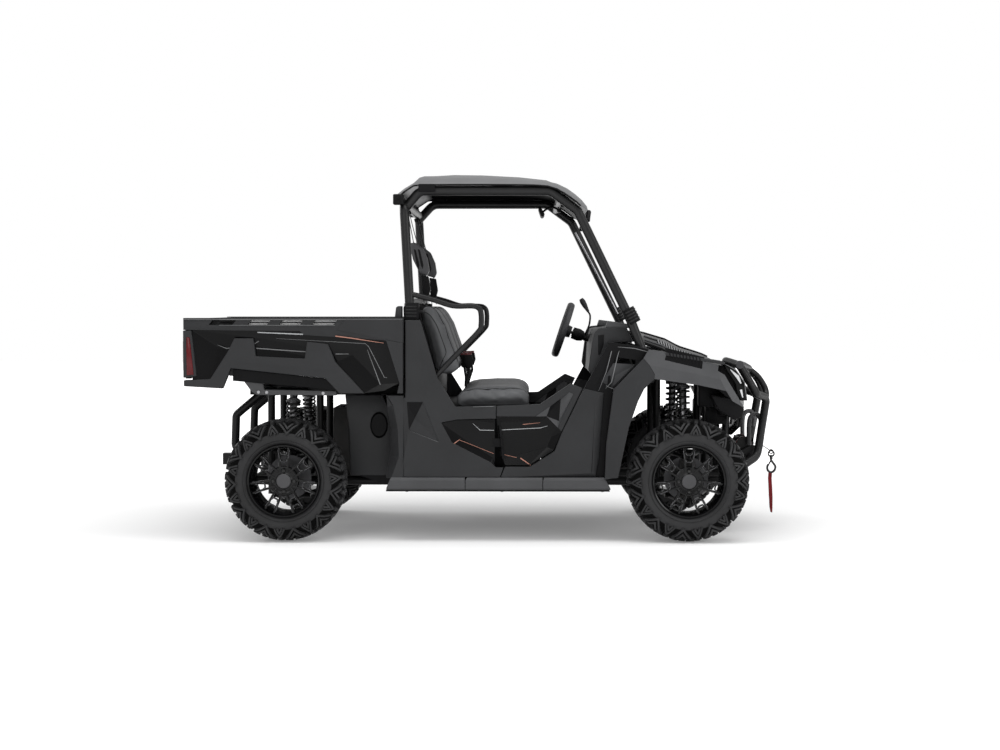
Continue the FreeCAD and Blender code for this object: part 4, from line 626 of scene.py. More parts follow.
def buildRim(node, tyreNode):
    low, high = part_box(tyreNode)
    rimLow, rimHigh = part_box(node)
    centre = (low + high) / 2
    side = 1 if centre.y > 0 else -1
    half = (high.y - low.y) / 2
    lip = half - rimMake["lipIn"]
    face = lip - rimMake["faceIn"]
    inner = min(abs(rimLow.y), abs(rimHigh.y)) - abs(centre.y)
    barrel = [(lip, 0.1835), (lip + 0.004, rimMake["lip"]), (lip + 0.001, rimMake["lip"] + 0.001),
              (lip - 0.008, 0.1845), (0.02, 0.181), (-lip, 0.1845), (-lip, 0.176), (0.0, rimMake["barrel"]),
              (lip - 0.03, rimMake["barrel"] + 0.001)]
    parts = [lathe("barrel", barrel, (0, 0, 0), (0, 1, 0), segments=96, closed=True)]
    rails, milledHighlights = [], []
    reach = rimMake["barrel"] + rimMake["overlap"]
    for way in (-1, 1):
        near, far = way * rimMake["gap"] * 0.5, way * (rimMake["gap"] * 0.5 + rimMake["flare"])
        outline = [(near - rimMake["rail"] / 2, 0.05), (near + rimMake["rail"] / 2, 0.05),
                   (far + rimMake["rail"] / 2, reach), (far - rimMake["rail"] / 2, reach)]
        rails.append(prism("rail", outline, face - rimMake["depth"], face, width=0.0022))
        # thin bright strips along the spoke edges and rungs: milled accents and painted highlights
        strip = [(near + way * 0.0044, 0.120), (near + way * 0.0055, 0.120),
                 (far + way * 0.0055, reach - 0.014), (far + way * 0.0044, reach - 0.014)]
        milledHighlights.append(prism("milledEdgeHighlight", strip, face - 0.004, face + 0.0006))
    for rung in rimMake["rungs"]:
        hook = [(-0.0190, rung + 0.008), (-0.015, rung - 0.002), (-0.008, rung - 0.004),
                (0.008, rung - 0.004), (0.015, rung - 0.002), (0.0190, rung + 0.008)]
        thick = [(x * 0.72, z + 0.007) for x, z in reversed(hook)]
        rails.append(prism("rung", hook + thick, face - rimMake["depth"] * 0.8, face - 0.001, width=0.0015))
        thin = [(x * 0.9, z + 0.0014) for x, z in reversed(hook)]
        milledHighlights.append(prism("milledRungHighlight", [(x * 0.97, z + 0.0006) for x, z in hook] + thin, face - 0.004,
                            face - 0.0003))
    turn = (0, 2 * math.pi / rimMake["spokes"], 0)
    parts.append(repeated(joinMeshes("spoke", rails), rimMake["spokes"], "rimPaint", angle=turn))
    highlightAccents = repeated(joinMeshes("highlightAccents", milledHighlights), rimMake["spokes"], "milledEdgeHighlight", angle=turn)
    plate = [(face - 0.034, 0.001), (face - 0.034, rimMake["plate"] - 0.006),
             (face - 0.012, rimMake["plate"]), (face - 0.002, rimMake["plate"] - 0.004), (face, 0.070),
             (face - 0.003, 0.064), (face - 0.003, 0.044), (face, 0.0405), (face, 0.001)]
    parts.append(lathe("plate", plate, (0, 0, 0), (0, 1, 0), segments=64))
    boss = [(inner, 0.0001), (inner, 0.038), (face - 0.03, 0.038), (face - 0.03, 0.0001)]
    parts.append(lathe("boss", boss, (0, 0, 0), (0, 1, 0), segments=32))
    painted = rimPart(parts, "rimPaint", node, "Painted", centre, side)
    rimPart([highlightAccents], "milledEdgeHighlight", node, "MilledHighlight", centre, side)
    nut = lathe("nut", [(face - 0.004, 0.0001), (face - 0.004, 0.0105), (face + 0.001, 0.0105),
                        (face + 0.006, 0.0075), (face + 0.007, 0.0001)], (0, 0, rimMake["nutRing"]),
                (0, 1, 0), segments=6)
    nuts = repeated(nut, rimMake["nuts"], "springSteel", angle=(0, math.pi / 2, 0))
    rimPart([nuts], "springSteel", node, "Nuts", centre, side)
    cap = [(face - 0.002, 0.0001), (face - 0.002, rimMake["cap"]), (face + 0.010, rimMake["cap"]),
           (face + 0.0125, rimMake["cap"] - 0.003), (face + 0.013, 0.0001)]
    rimPart([lathe("cap", cap, (0, 0, 0), (0, 1, 0), segments=48)], "hubGrey", node, "Cap", centre, side)
    disc = [(inner + 0.001, 0.04), (inner + 0.001, 0.118), (inner + 0.007, 0.118), (inner + 0.007, 0.04)]
    rimPart([lathe("disc", disc, (0, 0, 0), (0, 1, 0), segments=72, closed=True)], "brakeDisc", node,
            "Disc", centre, side)
    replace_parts(painted, node)


for end in ("front", "rear"):
    for side in ("left", "right"):
        buildRim(end + "_rim_" + side, end + "_tyre_" + side)
print("rims made")


# Moulded side panels: facets drawn as (x, z, depth below the outer face) in millimetres, right side first
def facetPanel(name, spots, faces, outer, inner, width=0.003):
    names = list(spots)
    front = [(spots[n][0] / 1000, -(outer - spots[n][2]) / 1000, spots[n][1] / 1000) for n in names]
    rear = [(spots[n][0] / 1000, -inner / 1000, spots[n][1] / 1000) for n in names]
    count = len(names)
    loops = [[names.index(n) for n in face] for face in faces]
    sides = {}
    for loop in loops:
        for a, b in zip(loop, loop[1:] + loop[:1]):
            sides[(a, b)] = sides.get((a, b), 0) + 1
    solid = [tuple(loop) for loop in loops] + [tuple(count + i for i in reversed(loop)) for loop in loops]
    for a, b in sides:
        if (b, a) not in sides:
            solid.append((b, a, count + a, count + b))
    return roundedMesh(outwards(meshOf(name, front + rear, solid)), width, segments=2, degrees=7)


def bothSides(mesh):
    return joinMeshes(mesh.name + "Both", [mesh, mirroredMesh(mesh)])


def ribbon(name, points, widths, outer, thick=0.9, root=1.5):
    # a stripe of changing width along points (x, z), thick above the face and root below it, in millimetres
    left, right = [], []
    for index, (x, z) in enumerate(points):
        before, after = points[max(index - 1, 0)], points[min(index + 1, len(points) - 1)]
        run = Vector((after[0] - before[0], after[1] - before[1])).normalized()
        half = widths[index] / 2
        left.append(((x - run.y * half) / 1000, (z + run.x * half) / 1000))
        right.append(((x + run.y * half) / 1000, (z - run.x * half) / 1000))
    return prism(name, left + right[::-1], -(outer + thick) / 1000, -(outer - root) / 1000)


def placePanel(mesh, finishName, node, replaces=False, pair=True, crease=creases["facet"]):
    mesh = bothSides(mesh) if pair else mesh
    smoothByAngle(mesh, crease)
    piece = addPiece(mesh.name, mesh, finishName, bodyOf[node])
    if replaces:
        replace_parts(piece, node)
    return piece


def stripes(name, node, finishName, rows, pair=True):
    meshes = [ribbon("stripe", points, widths, outer) for points, widths, outer in rows]
    placePanel(joinMeshes(name, meshes), finishName, node, pair=pair)


quarter = {"a": (-421, 1173, 0), "b": (-366, 1173, 0), "c": (-342, 1173, 16), "d": (-252, 868, 16),
           "e": (-157, 715, 12), "f": (59, 721, 2), "g": (59, 652, 8), "h": (-147, 647, 10),
           "i": (-231, 631, 4), "j": (-173, 525, 8), "k": (32, 420, 8), "l": (58, 394, 6),
           "L": (98, 394, 3), "m": (79, 342, 0), "w": (-428, 342, 0), "n": (-438, 342, 14),
           "o": (-438, 757, 4), "p": (-421, 765, 0), "q": (-318, 802, 0), "t": (-430, 430, 0),
           "A": (-412, 739, 0), "B": (-328, 739, 0), "C": (-246, 531, 0), "D": (-401, 594, 0),
           "E": (-372, 655, 22)}
quarterFaces = ["abqBAp", "bcdq", "qdehi", "efgh", "BqijC", "opADtn", "ntw", "tDCjklLmw"]
placePanel(facetPanel("rearQuarterPanel", quarter, quarterFaces, outer=720, inner=686, width=0.0035),
           "moldedPanel", "rear_quarters", replaces=True)
placePanel(facetPanel("quarterScoop", quarter, ["ABE", "DAE"], outer=720, inner=690, width=0.0015),
           "moldedDark", "rear_quarters")
placePanel(facetPanel("quarterScoopFoot", quarter, ["BCE", "CDE"], outer=720, inner=690, width=0.0015),
           "moldedPanel", "rear_quarters")
# light grey lines along the scoop crease, the top edge and the foot of the quarter panel: painted highlights
stripes("quarterEdgeHighlights", "rear_quarters", "paintedHighlightGrey",
        [([(-401, 590), (-246, 528)], [1.5, 3], 719), ([(-62, 715), (56, 718)], [2, 3], 716),
         ([(-428, 352), (-300, 352), (66, 352)], [1, 3, 2], 718)])

# Hinge barrels on the slanted line that each half door swings on
hingeLine = {"low": Vector((0.0976, -0.718, 0.4325)), "top": Vector((0.0799, -0.718, 0.6197)),
             "radius": 0.0075, "pin": 0.0034,
             "door": ((0.05, 0.33), (0.67, 0.95)), "inset": ((0.38, 0.62), (0.02, 0.98))}


def barrels(kind):
    run = hingeLine["top"] - hingeLine["low"]
    made = []
    for index, (start, end) in enumerate(hingeLine[kind]):
        radius = hingeLine["pin"] if (kind, index) == ("inset", 1) else hingeLine["radius"]
        made.append(tube("barrel", [hingeLine["low"] + run * start, hingeLine["low"] + run * end], radius,
                         sides=16))
    return made


inset = {"a": (-147, 645, 4), "b": (-230, 629, 0), "c": (-173, 525, 0), "d": (32, 419, 2),
         "e": (52, 398, 4), "f": (52, 649, 4), "g": (-20, 638, 14), "h": (-70, 515, 18), "i": (40, 446, 12),
         "j": (44, 630, 12)}
insetFaces = ["abhg", "bch", "cdih", "dei", "gjfa", "ghij", "eijf"]
insetPanel = facetPanel("sideInsetPanel", inset, insetFaces, outer=712, inner=684.5, width=0.002)
plate = cuboid("plate", (0.040, -0.7165, 0.503), (0.088, -0.7095, 0.548))
placePanel(joinMeshes("sideInset", [insetPanel]), "glossPanel", "side_insets", replaces=True)
placePanel(joinMeshes("insetHinge", barrels("inset") + [roundedMesh(plate, width=0.0015)]), "moldedDark",
           "side_insets", crease=creases["hard"])
stripes("insetSilver", "side_insets", "silverStripe",
        [([(-64, 626), (-26, 591), (50, 590)], [1.5, 3, 3], 702)])
stripes("insetRose", "side_insets", "roseStripe",
        [([(-170, 515), (-135, 541)], [6, 3], 710), ([(-135, 539), (50, 465)], [2, 2], 703)])

door = {"A": (62, 720, 2), "B": (290, 729, 0), "C": (452, 839, 0), "D": (514, 814, 2), "E": (405, 584, 4),
        "F": (362, 484, 8), "G": (232, 405, 6), "H": (107, 405, 6), "I": (82, 461, 6), "J": (62, 646, 8),
        "K": (62, 664, 0), "L": (268, 664, 0), "M": (345, 718, 0), "N": (446, 793, 0), "P": (384, 606, 0),
        "R": (300, 642, 12), "S": (352, 560, 18), "T": (328, 500, 20), "U": (84, 634, 12),
        "V": (104, 440, 18), "W": (400, 758, 18), "X": (466, 783, 0), "Y": (392, 640, 18),
        "Z": (325, 664, 16)}
barFaces = ["ABLK", "BCNML", "CDXN", "DEPX"]
recessFaces = ["MNW", "NXYW", "XPY", "MWZ", "WYZ", "YPZ", "LMZ"]
glossFaces = ["KLRU", "LZR", "ZPSR", "PES", "EFTS", "FGT", "GHVT", "HIV", "IJUV", "JKU", "RSTVU"]
doorPieces = {"glossPanel": [facetPanel("doorGloss", door, glossFaces, outer=714, inner=684.5,
                                        width=0.0018)],
              "moldedPanel": [facetPanel("doorBar", door, barFaces, outer=719, inner=685, width=0.0028)],
              "moldedLight": [facetPanel("doorRecess", door, recessFaces[:3] + recessFaces[5:], outer=717,
                                         inner=685.5, width=0.0015)],
              "moldedDark": [facetPanel("doorPocket", door, recessFaces[3:5], outer=717, inner=685.5,
                                        width=0.0015)] + barrels("door"),
              "silverStripe": [ribbon("stripe", [(86, 592), (292, 603), (332, 614)], [3.2, 3, 1.2], 702)],
              "roseStripe": [ribbon("stripe", [(200, 621), (292, 631)], [3, 1.4], 701),
                             ribbon("stripe", [(88, 464), (190, 440)], [2, 2], 697),
                             ribbon("stripe", [(188, 443), (240, 407)], [5.5, 4], 706)]}
for node, way in (("door_left", 1), ("door_right", -1)):
    for finishName, parts in doorPieces.items():
        mesh = joinMeshes(node + finishName.title(), [part.copy() for part in parts])
        if way > 0:
            mesh = mirroredMesh(mesh)
        placePanel(mesh, finishName, node, finishName == "glossPanel", pair=False)

# Front side panel: matte lower part, recessed frame with its air scoop, shelf beside the hood
lower = {"a": (523, 812, 0), "b": (407, 581, 0), "c": (368, 480, 0), "d": (238, 398, 0), "e": (106, 398, 4),
         "f": (83, 342, 0), "g": (585, 342, 16), "h": (604, 445, 18), "i": (628, 788, 18),
         "p": (536, 768, 0), "q": (585, 763, 0), "r": (565, 367, 0)}
lowerFaces = ["aiqp", "ihgrq", "grf", "apb", "pqrb", "bcr", "cdr", "defr"]
placePanel(facetPanel("frontLowerPanel", lower, lowerFaces, outer=720, inner=686, width=0.003),
           "moldedPanel",
           "front_side_panels", replaces=True)
upper = {"a": (523, 812, 6), "o": (655, 1056, 6), "n": (790, 1040, 6), "m": (874, 1016, 8),
         "l": (868, 975, 16), "B": (835, 972, 18), "A": (677, 808, 24), "W": (639, 517, 24),
         "V": (632, 342, 24), "g": (585, 342, 22), "h": (604, 445, 22), "i": (628, 788, 22),
         "s": (575, 822, 12), "t": (678, 1015, 12), "u": (800, 1000, 16), "C": (618, 846, 22),
         "D": (677, 944, 22), "E": (793, 937, 22), "F": (670, 811, 26), "H": (695, 976, 20),
         "K": (796, 962, 20)}
upperFaces = ["aots", "onut", "nmlu", "ulBK", "tuKH", "stHDC", "asCi", "iCF", "iFAWVgh", "FEBA", "EKB"]
placePanel(facetPanel("frontUpperFrame", upper, upperFaces, outer=720, inner=690, width=0.002),
           "moldedDark", "front_side_panels")
scoop = {"C": (616, 846, 4), "D": (677, 946, 4), "E": (795, 938, 18), "F": (670, 809, 30),
         "M": (690, 880, 26)}
placePanel(facetPanel("airScoop", scoop, ["CDM", "DEM", "EFM", "FCM"], outer=694, inner=640, width=0.002),
           "moldedLight", "front_side_panels")
shelf = [(655, 1057), (830, 1030), (879, 1016), (879, 1003), (830, 1017), (655, 1044)]
placePanel(prism("sideShelf", [(x / 1000, z / 1000) for x, z in shelf], -0.688, -0.503, width=0.002),
           "moldedPanel", "front_side_panels")

# Front fender: dark leg, lighter tilted top band, two tabs and a slatted vent between them
fender = {"V": (632, 332, 2), "W": (639, 517, 4), "A": (677, 808, 4), "B": (835, 972, 10),
          "C": (863, 1018, 26), "D": (957, 1004, 30), "E": (947, 962, 26), "F": (961, 960, 26),
          "G": (1143, 916, 26), "H": (1147, 957, 32), "I": (1231, 937, 32), "J": (1227, 906, 28),
          "K": (1262, 885, 26), "L": (1339, 755, 14), "M": (1367, 710, 6), "N": (1301, 748, 0),
          "O": (1269, 801, 0), "P": (1122, 832, 0), "Q": (891, 864, 0), "R": (838, 811, 0),
          "S": (807, 748, 0), "T": (758, 608, 0), "U": (702, 342, 0), "m": (866, 937, 2),
          "n": (894, 888, 0), "e": (985, 914, 10), "g": (1129, 886, 10), "k": (1238, 862, 8),
          "r": (812, 842, 0), "s": (770, 742, 0), "t": (722, 600, 0), "u": (672, 340, 0)}
legFaces = ["VWtu", "WAst", "ABrs", "Bmnr", "rnQR", "srRS", "tsST", "utTU"]
topFaces = ["BCm", "CDEem", "EFGge", "GHIJkg", "JKk", "men", "egPQn", "gkOP", "kKLO", "LMNO"]
placePanel(facetPanel("fenderLeg", fender, legFaces, outer=750, inner=719, width=0.003), "moldedPanel",
           "front_fenders", replaces=True)
placePanel(facetPanel("fenderTop", fender, topFaces, outer=750, inner=719, width=0.003), "moldedLight",
           "front_fenders")
slats = [prism("ventBack", [(0.950, 1.028), (0.950, 0.945), (1.152, 0.898), (1.156, 0.978)], -0.7180,
               -0.7060)]
ventMake = {"slats": 10, "first": (0.970, 1.000), "step": (0.0178, -0.0050), "low": -0.7230,
            "high": -0.7120}
for index in range(ventMake["slats"]):
    x, z = (first + index * step for first, step in zip(ventMake["first"], ventMake["step"]))
    slats.append(prism("slat", [(x + 0.004, z - 0.025), (x + 0.010, z - 0.027), (x + 0.004, z + 0.018),
                                (x - 0.003, z + 0.020)],
                       ventMake["low"], ventMake["high"]))
placePanel(joinMeshes("fenderVent", slats), "moldedDark", "front_fenders")
shelf = prism("fenderShelf", [(0.892, 1.0135), (1.262, 0.9545), (1.262, 0.938), (0.892, 0.996)], -0.722,
              -0.506)
placePanel(roundedMesh(shelf, width=0.004), "moldedPanel", "front_fenders", crease=creases["hard"])

# Rocker: three light lengths split by seams over a dark foot
rockerParts = []
for start, end, first, last in ((-505, -106, -522, -106), (-103, 304, -103, 304), (307, 640, 307, 663)):
    spots = {"a": (start + 8, 341, 8), "b": (end - (8 if end > 600 else 0), 341, 8), "c": (end, 326, 0),
             "d": (last, 284, 0), "e": (first, 284, 0), "f": (start, 326, 0), "g": (first, 274, 12),
             "h": (last, 274, 12)}
    rockerParts.append(facetPanel("rockerPart", spots, ["abcf", "fcde", "edhg"], outer=732, inner=686,
                                  width=0.0025))
placePanel(joinMeshes("rockerPanel", rockerParts), "moldedLight", "rockers", replaces=True)
foot = {"a": (-515, 300, 0), "b": (650, 300, 0), "c": (660, 267, 0), "d": (-525, 267, 0)}
placePanel(facetPanel("rockerFoot", foot, ["abcd"], outer=722, inner=684, width=0.002), "moldedDark",
           "rockers")
backing = [(0.560, 0.345), (0.700, 0.345), (0.720, 0.520), (0.770, 0.760), (0.640, 0.760)]
placePanel(prism("panelBacking", backing, -0.690, -0.684), "moldedDark", "front_side_panels")
# light grey lines along the edges of the recessed frame and its scoop: painted highlights
frameEdgeHighlights = [([(636, 812), (668, 846), (700, 985), (708, 1012)], [1, 4, 4, 2], 714),
              ([(700, 1032), (790, 1024), (866, 1004)], [2, 4, 3], 716),
              ([(640, 826), (700, 800), (672, 790)], [3, 4, 1], 700),
              ([(600, 800), (640, 900), (668, 1010)], [1, 3, 4], 716)]
stripes("frameEdgeHighlights", "front_side_panels", "paintedHighlightGrey", frameEdgeHighlights)
print("cab panels made")

# Cargo bed sides: gloss field with its creases, matt flare with two tabs, corner post, rail, stripes and
# lines of painted highlight
field = {"A": (-1546, 1121, 12), "B": (-783, 1121, 12), "C": (-520, 1068, 10), "D": (-450, 841, 6),
         "E": (-530, 800, 4), "F": (-634, 787, 4), "G": (-1449, 858, 18), "H": (-1546, 858, 14),
         "I": (-1410, 1030, 30), "J": (-1226, 1042, 30), "K": (-1173, 1073, 16), "L": (-630, 1047, 14),
         "M": (-548, 835, 14), "N": (-790, 950, 26), "O": (-1340, 920, 26), "P": (-780, 870, 24),
         "Q": (-700, 990, 22)}
fieldFaces = ["ABLK", "BCL", "AKJI", "AIGH", "IJO", "IOG", "JKQN", "KLQ", "JNO", "LCM", "CDM", "QLM",
              "MDEF", "QMFN", "NFP", "NPO"]
placePanel(facetPanel("bedField", field, fieldFaces, outer=738, inner=686, width=0.002), "glossPanel",
           "bed_sides", replaces=True)

flare = {"a": (-1588, 856, 0), "b": (-1449, 862, 0), "c": (-1357, 1005, 5), "d": (-1322, 1077, 12),
         "e": (-1221, 1077, 12), "f": (-1208, 982, 6), "g": (-950, 970, 6), "h": (-937, 1060, 12),
         "i": (-827, 1047, 12), "j": (-788, 952, 5), "k": (-634, 787, 0), "l": (-766, 787, 0),
         "m": (-840, 866, 2), "n": (-1340, 920, 2), "o": (-1384, 812, 0), "p": (-1588, 824, 0),
         "q": (-1352, 958, 0), "r": (-800, 912, 0)}
flareFaces = ["abop", "bqno", "bcq", "cdef", "cfq", "fgrq", "gjr", "ghij", "qrmn", "rjk", "rkl", "rlm"]
post = {"a": (-520, 1068, 0), "b": (-432, 1052, 0), "c": (-432, 787, 0), "d": (-462, 787, 2),
        "e": (-450, 841, 2)}
front = {"a": (-783, 1121, 4), "b": (-735, 1176, 0), "c": (-432, 1176, 0), "d": (-432, 1052, 2),
         "e": (-520, 1068, 6)}
flareParts = [facetPanel("flare", flare, flareFaces, outer=748, inner=700, width=0.003),
              facetPanel("post", post, ["abce", "ecd"], outer=745, inner=700, width=0.0025),
              facetPanel("railFront", front, ["abcde"], outer=747, inner=715, width=0.0025)]
placePanel(joinMeshes("bedFlare", flareParts), "moldedPanel", "bed_flares", replaces=True)
under = {"a": (-1335, 915, 0), "b": (-842, 862, 0), "c": (-770, 800, 10), "d": (-1340, 850, 20)}
underPanel = facetPanel("under", under, ["abcd"], outer=700, inner=660, width=0.002)
placePanel(joinMeshes("bedUnder", [underPanel]), "moldedDark", "bed_flares")
stripes("bedSilver", "bed_flares", "silverStripe", [([(-1200, 1108), (-959, 1098)], [5, 6], 726)])
stripes("bedRose", "bed_flares", "roseStripe",
        [([(-950, 1101), (-786, 1089)], [7, 6], 729),
         ([(-786, 1089), (-700, 1078), (-532, 1052)], [6, 5, 2], 749)])
# light grey lines along the creases of the gloss field and the flare: painted highlights
lines = [([(-1414, 1042), (-1366, 1023), (-1226, 1042), (-1178, 1073), (-1103, 1079)], [1, 5, 4, 4, 1],
          716), ([(-1208, 1024), (-937, 1005)], [5, 5], 718), ([(-788, 994), (-718, 994)], [5, 2], 718),
         ([(-1103, 1076), (-630, 1049), (-612, 1032), (-530, 870), (-484, 868)], [1, 3, 3, 3, 1], 726),
         ([(-620, 1016), (-552, 832), (-600, 806)], [2, 5, 1], 724)]
stripes("bedEdgeHighlights", "bed_flares", "paintedHighlightGrey", lines)
slots = [prism("slot", [(a / 1000, 1.149), ((a + 20) / 1000, 1.172), (b / 1000, 1.172),
                        ((b - 20) / 1000, 1.149)], -0.712, -0.700)
         for a, b in ((-1252, -1128), (-1086, -955), (-913, -777))]
placePanel(joinMeshes("slotBacks", slots), "paleBacking", "bed_flares")
rods = [tube("rod", [(-1.400, -0.7185, 1.160), (-0.790, -0.7185, 1.160)], radius=0.0024, sides=8)]
rods += [prism("slotPost", [(x - 0.010, 1.148), (x + 0.010, 1.173), (x + 0.020, 1.173), (x, 1.148)],
               -0.7195, -0.708) for x in (-1.264, -1.108, -0.940)]
placePanel(joinMeshes("slotRods", rods), "moldedDark", "bed_flares", crease=creases["hard"])
# light grey lines along the top and foot of the slot row: painted highlights
stripes("slotEdgeHighlights", "bed_flares", "paintedHighlightGrey",
        [([(-1400, 1146), (-790, 1146)], [2, 3], 745), ([(-1400, 1175), (-775, 1175)], [2, 2], 745)])
edge = {"a": (-1588, 1181, 6), "b": (-432, 1181, 6), "c": (-432, 1174, 0), "d": (-1588, 1174, 0)}
edgePanel = facetPanel("edge", edge, ["abcd"], outer=744, inner=720, width=0.001)
placePanel(joinMeshes("railTop", [edgePanel]), "moldedLight", "bed_flares")
lamp = {"a": (-1574, 1084, 0), "b": (-1556, 1080, 0), "c": (-1536, 885, 0), "d": (-1574, 880, 0)}
placePanel(facetPanel("tailLamp", lamp, ["abcd"], outer=746, inner=700, width=0.004), "lampRed",
           "tail_lights", replaces=True, crease=creases["hard"])
frameOf = {"a": (-1592, 1118, 0), "b": (-1548, 1118, 0), "c": (-1522, 878, 0), "d": (-1592, 868, 0)}
placePanel(facetPanel("lampFrame", frameOf, ["abcd"], outer=741, inner=650, width=0.003), "moldedPanel",
           "tail_lights")
placePanel(cuboid("lampRear", (-1.5945, -0.732, 0.905), (-1.588, -0.666, 1.062), width=0.0025), "lampRed",
           "tail_lights", crease=creases["hard"])
arch = {"a": (-520, 775, 18), "b": (-485, 720, 10), "c": (-462, 600, 4), "d": (-455, 450, 2),
        "e": (-497, 335, 2), "f": (-432, 335, 4), "g": (-430, 775, 6), "h": (-545, 775, 70),
        "i": (-522, 700, 80), "j": (-505, 600, 80), "k": (-508, 450, 80), "l": (-530, 335, 60)}
placePanel(facetPanel("archEdge", arch, ["abg", "bcg", "cdfg", "def", "haib", "ijcb", "jkdc", "kled"],
                      outer=722, inner=630, width=0.003), "moldedPanel", "rear_quarters")
rail = [(-1.286, 0.852), (-1.180, 0.846), (-1.176, 0.803), (-0.790, 0.796), (-0.790, 0.772),
        (-1.214, 0.775), (-1.246, 0.798)]
placePanel(prism("bedRail", rail, -0.672, -0.620, width=0.003), "hubGrey", "bed_box",
           crease=creases["hard"])
boltSpots = ((-1.204, 0.790), (-1.16, 0.789), (-0.86, 0.784))
bolts = [tube("bolt", [(x, -0.670, z), (x, -0.677, z)], radius=0.009, sides=6) for x, z in boltSpots]
placePanel(joinMeshes("bedRailBolts", bolts), "brightSteel", "bed_box", crease=creases["hard"])
board = [(-0.478, 1.176), (-0.470, 1.240), (-0.460, 1.247), (-0.441, 1.247), (-0.441, 1.176)]
placePanel(prism("headboardEnd", board, -0.705, -0.600, width=0.004), "moldedPanel", "bed_box",
           crease=creases["hard"])
gateMake = {"face": -1.589, "fieldOut": -1.5935, "handleOut": -1.5925, "low": 0.925, "high": 1.095,
            "fields": ((-0.60, -0.215), (-0.195, 0.195), (0.215, 0.60))}
fields = [cuboid("field", (gateMake["fieldOut"], a, gateMake["low"]),
                 (gateMake["face"], b, gateMake["high"]), width=0.003)
          for a, b in gateMake["fields"]]
placePanel(joinMeshes("tailgateFields", fields), "moldedPanel", "tailgate", pair=False,
           crease=creases["hard"])
handle = cuboid("handleCup", (gateMake["handleOut"], -0.095, 1.112), (gateMake["face"], 0.095, 1.152),
                width=0.0015)
placePanel(joinMeshes("tailgateHandle", [handle]), "moldedDark", "tailgate", pair=False,
           crease=creases["hard"])
floorRibs = [cuboid("floorRib", (-1.52, y - 0.032, 0.902), (-0.52, y + 0.032, 0.9090), width=0.003)
             for y in (-0.51, -0.34, -0.17, 0, 0.17, 0.34, 0.51)]
placePanel(joinMeshes("bedFloorRibs", floorRibs), "moldedPanel", "bed_box", pair=False,
           crease=creases["hard"])
print("bed sides made")

# Mud guard: swept splash plate with its rounded duct
guard = [(-762, 768), (-530, 768), (-510, 715), (-500, 600), (-505, 450), (-520, 330), (-735, 330),
         (-740, 560)]
placePanel(prism("splashPlate", [(x / 1000, z / 1000) for x, z in guard], -0.494, -0.476, width=0.006,
                 segments=3), "moldedPanel", "mud_guards", crease=creases["hard"])
duct = lathe("duct", [(-0.502, 0.047), (-0.502, 0.041), (-0.490, 0.036), (-0.490, 0.0001), (-0.470, 0.0001),
                      (-0.470, 0.047)], (0, 0, 0), (0, 1, 0), segments=40, closed=False)
duct.transform(Matrix.Translation((-0.578, 0, 0.604)) @ Matrix.Scale(1.5, 4, (0, 0, 1)))
placePanel(duct, "moldedDark", "mud_guards", crease=creases["hard"])
print("mud guards made")

# Seats: cushions blown up against their own cover, then piping and sewn channels laid on them
seatMake = {"voxel": 0.006, "pressure": 3.2, "frames": 16, "grow": 0.011, "round": 0.020, "piping": 0.0024,
            "half": 0.612, "spacing": 0.397,
            "backHalf": 0.180, "frontPipe": 0.160, "sidePipe": 0.190, "pipeStep": 0.012, "firm": 0.85,
            "quality": 4, "smooths": 5,
            "base": [(-0.152, 0.714), (-0.156, 0.762), (-0.132, 0.786), (-0.06, 0.800), (0.045, 0.806),
                     (0.15, 0.805), (0.212, 0.797), (0.235, 0.768), (0.236, 0.722), (0.225, 0.712),
                     (-0.140, 0.710)],
            "back": [(-0.250, 0.882), (-0.170, 0.893), (-0.140, 0.912), (-0.223, 1.146), (-0.277, 1.236),
                     (-0.306, 1.250), (-0.333, 1.241), (-0.342, 1.222)]}


def cushion(name, mesh, finishName, body):
    holder = bpy.data.objects.new(name, mesh)
    bpy.context.scene.collection.objects.link(holder)
    even = holder.modifiers.new("even", "REMESH")
    even.mode = "VOXEL"
    even.voxel_size = seatMake["voxel"]
    finishModifiers(holder)
    still = [v.co.copy() for v in holder.data.vertices]
    blow = holder.modifiers.new("blow", "CLOTH")
    blow.settings.use_pressure = True
    blow.settings.uniform_pressure_force = seatMake["pressure"]
    blow.settings.effector_weights.gravity = 0
    blow.settings.quality = seatMake["quality"]
    blow.point_cache.frame_start, blow.point_cache.frame_end = 1, seatMake["frames"]
    for frameNumber in range(1, seatMake["frames"] + 1):
        bpy.context.scene.frame_set(frameNumber)
    finishModifiers(holder)
    bpy.context.scene.frame_set(1)
    for vertex, start in zip(holder.data.vertices, still):
        move = vertex.co - start
        if move.length > seatMake["grow"]:
            vertex.co = start + move.normalized() * seatMake["grow"]
    smooth = holder.modifiers.new("smooth", "SMOOTH")
    smooth.factor = 0.5
    smooth.iterations = seatMake["smooths"]
    finishModifiers(holder)
    holder.data.materials.clear()
    holder.data.materials.append(looks[finishName])
    holder.data.polygons.foreach_set("use_smooth", [True] * len(holder.data.polygons))
    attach(holder, body)
    return holder


def grooved(holder, lines, depth, width):
    # press sewn channels into the cushion: each line is (axis, place, low z, high z)
    for vertex in holder.data.vertices:
        for axis, place, low, high in lines:
            away = abs(vertex.co[axis] - place)
            if away < width and low < vertex.co.z < high:
                vertex.co -= vertex.normal * depth * (0.5 + 0.5 * math.cos(math.pi * away / width))


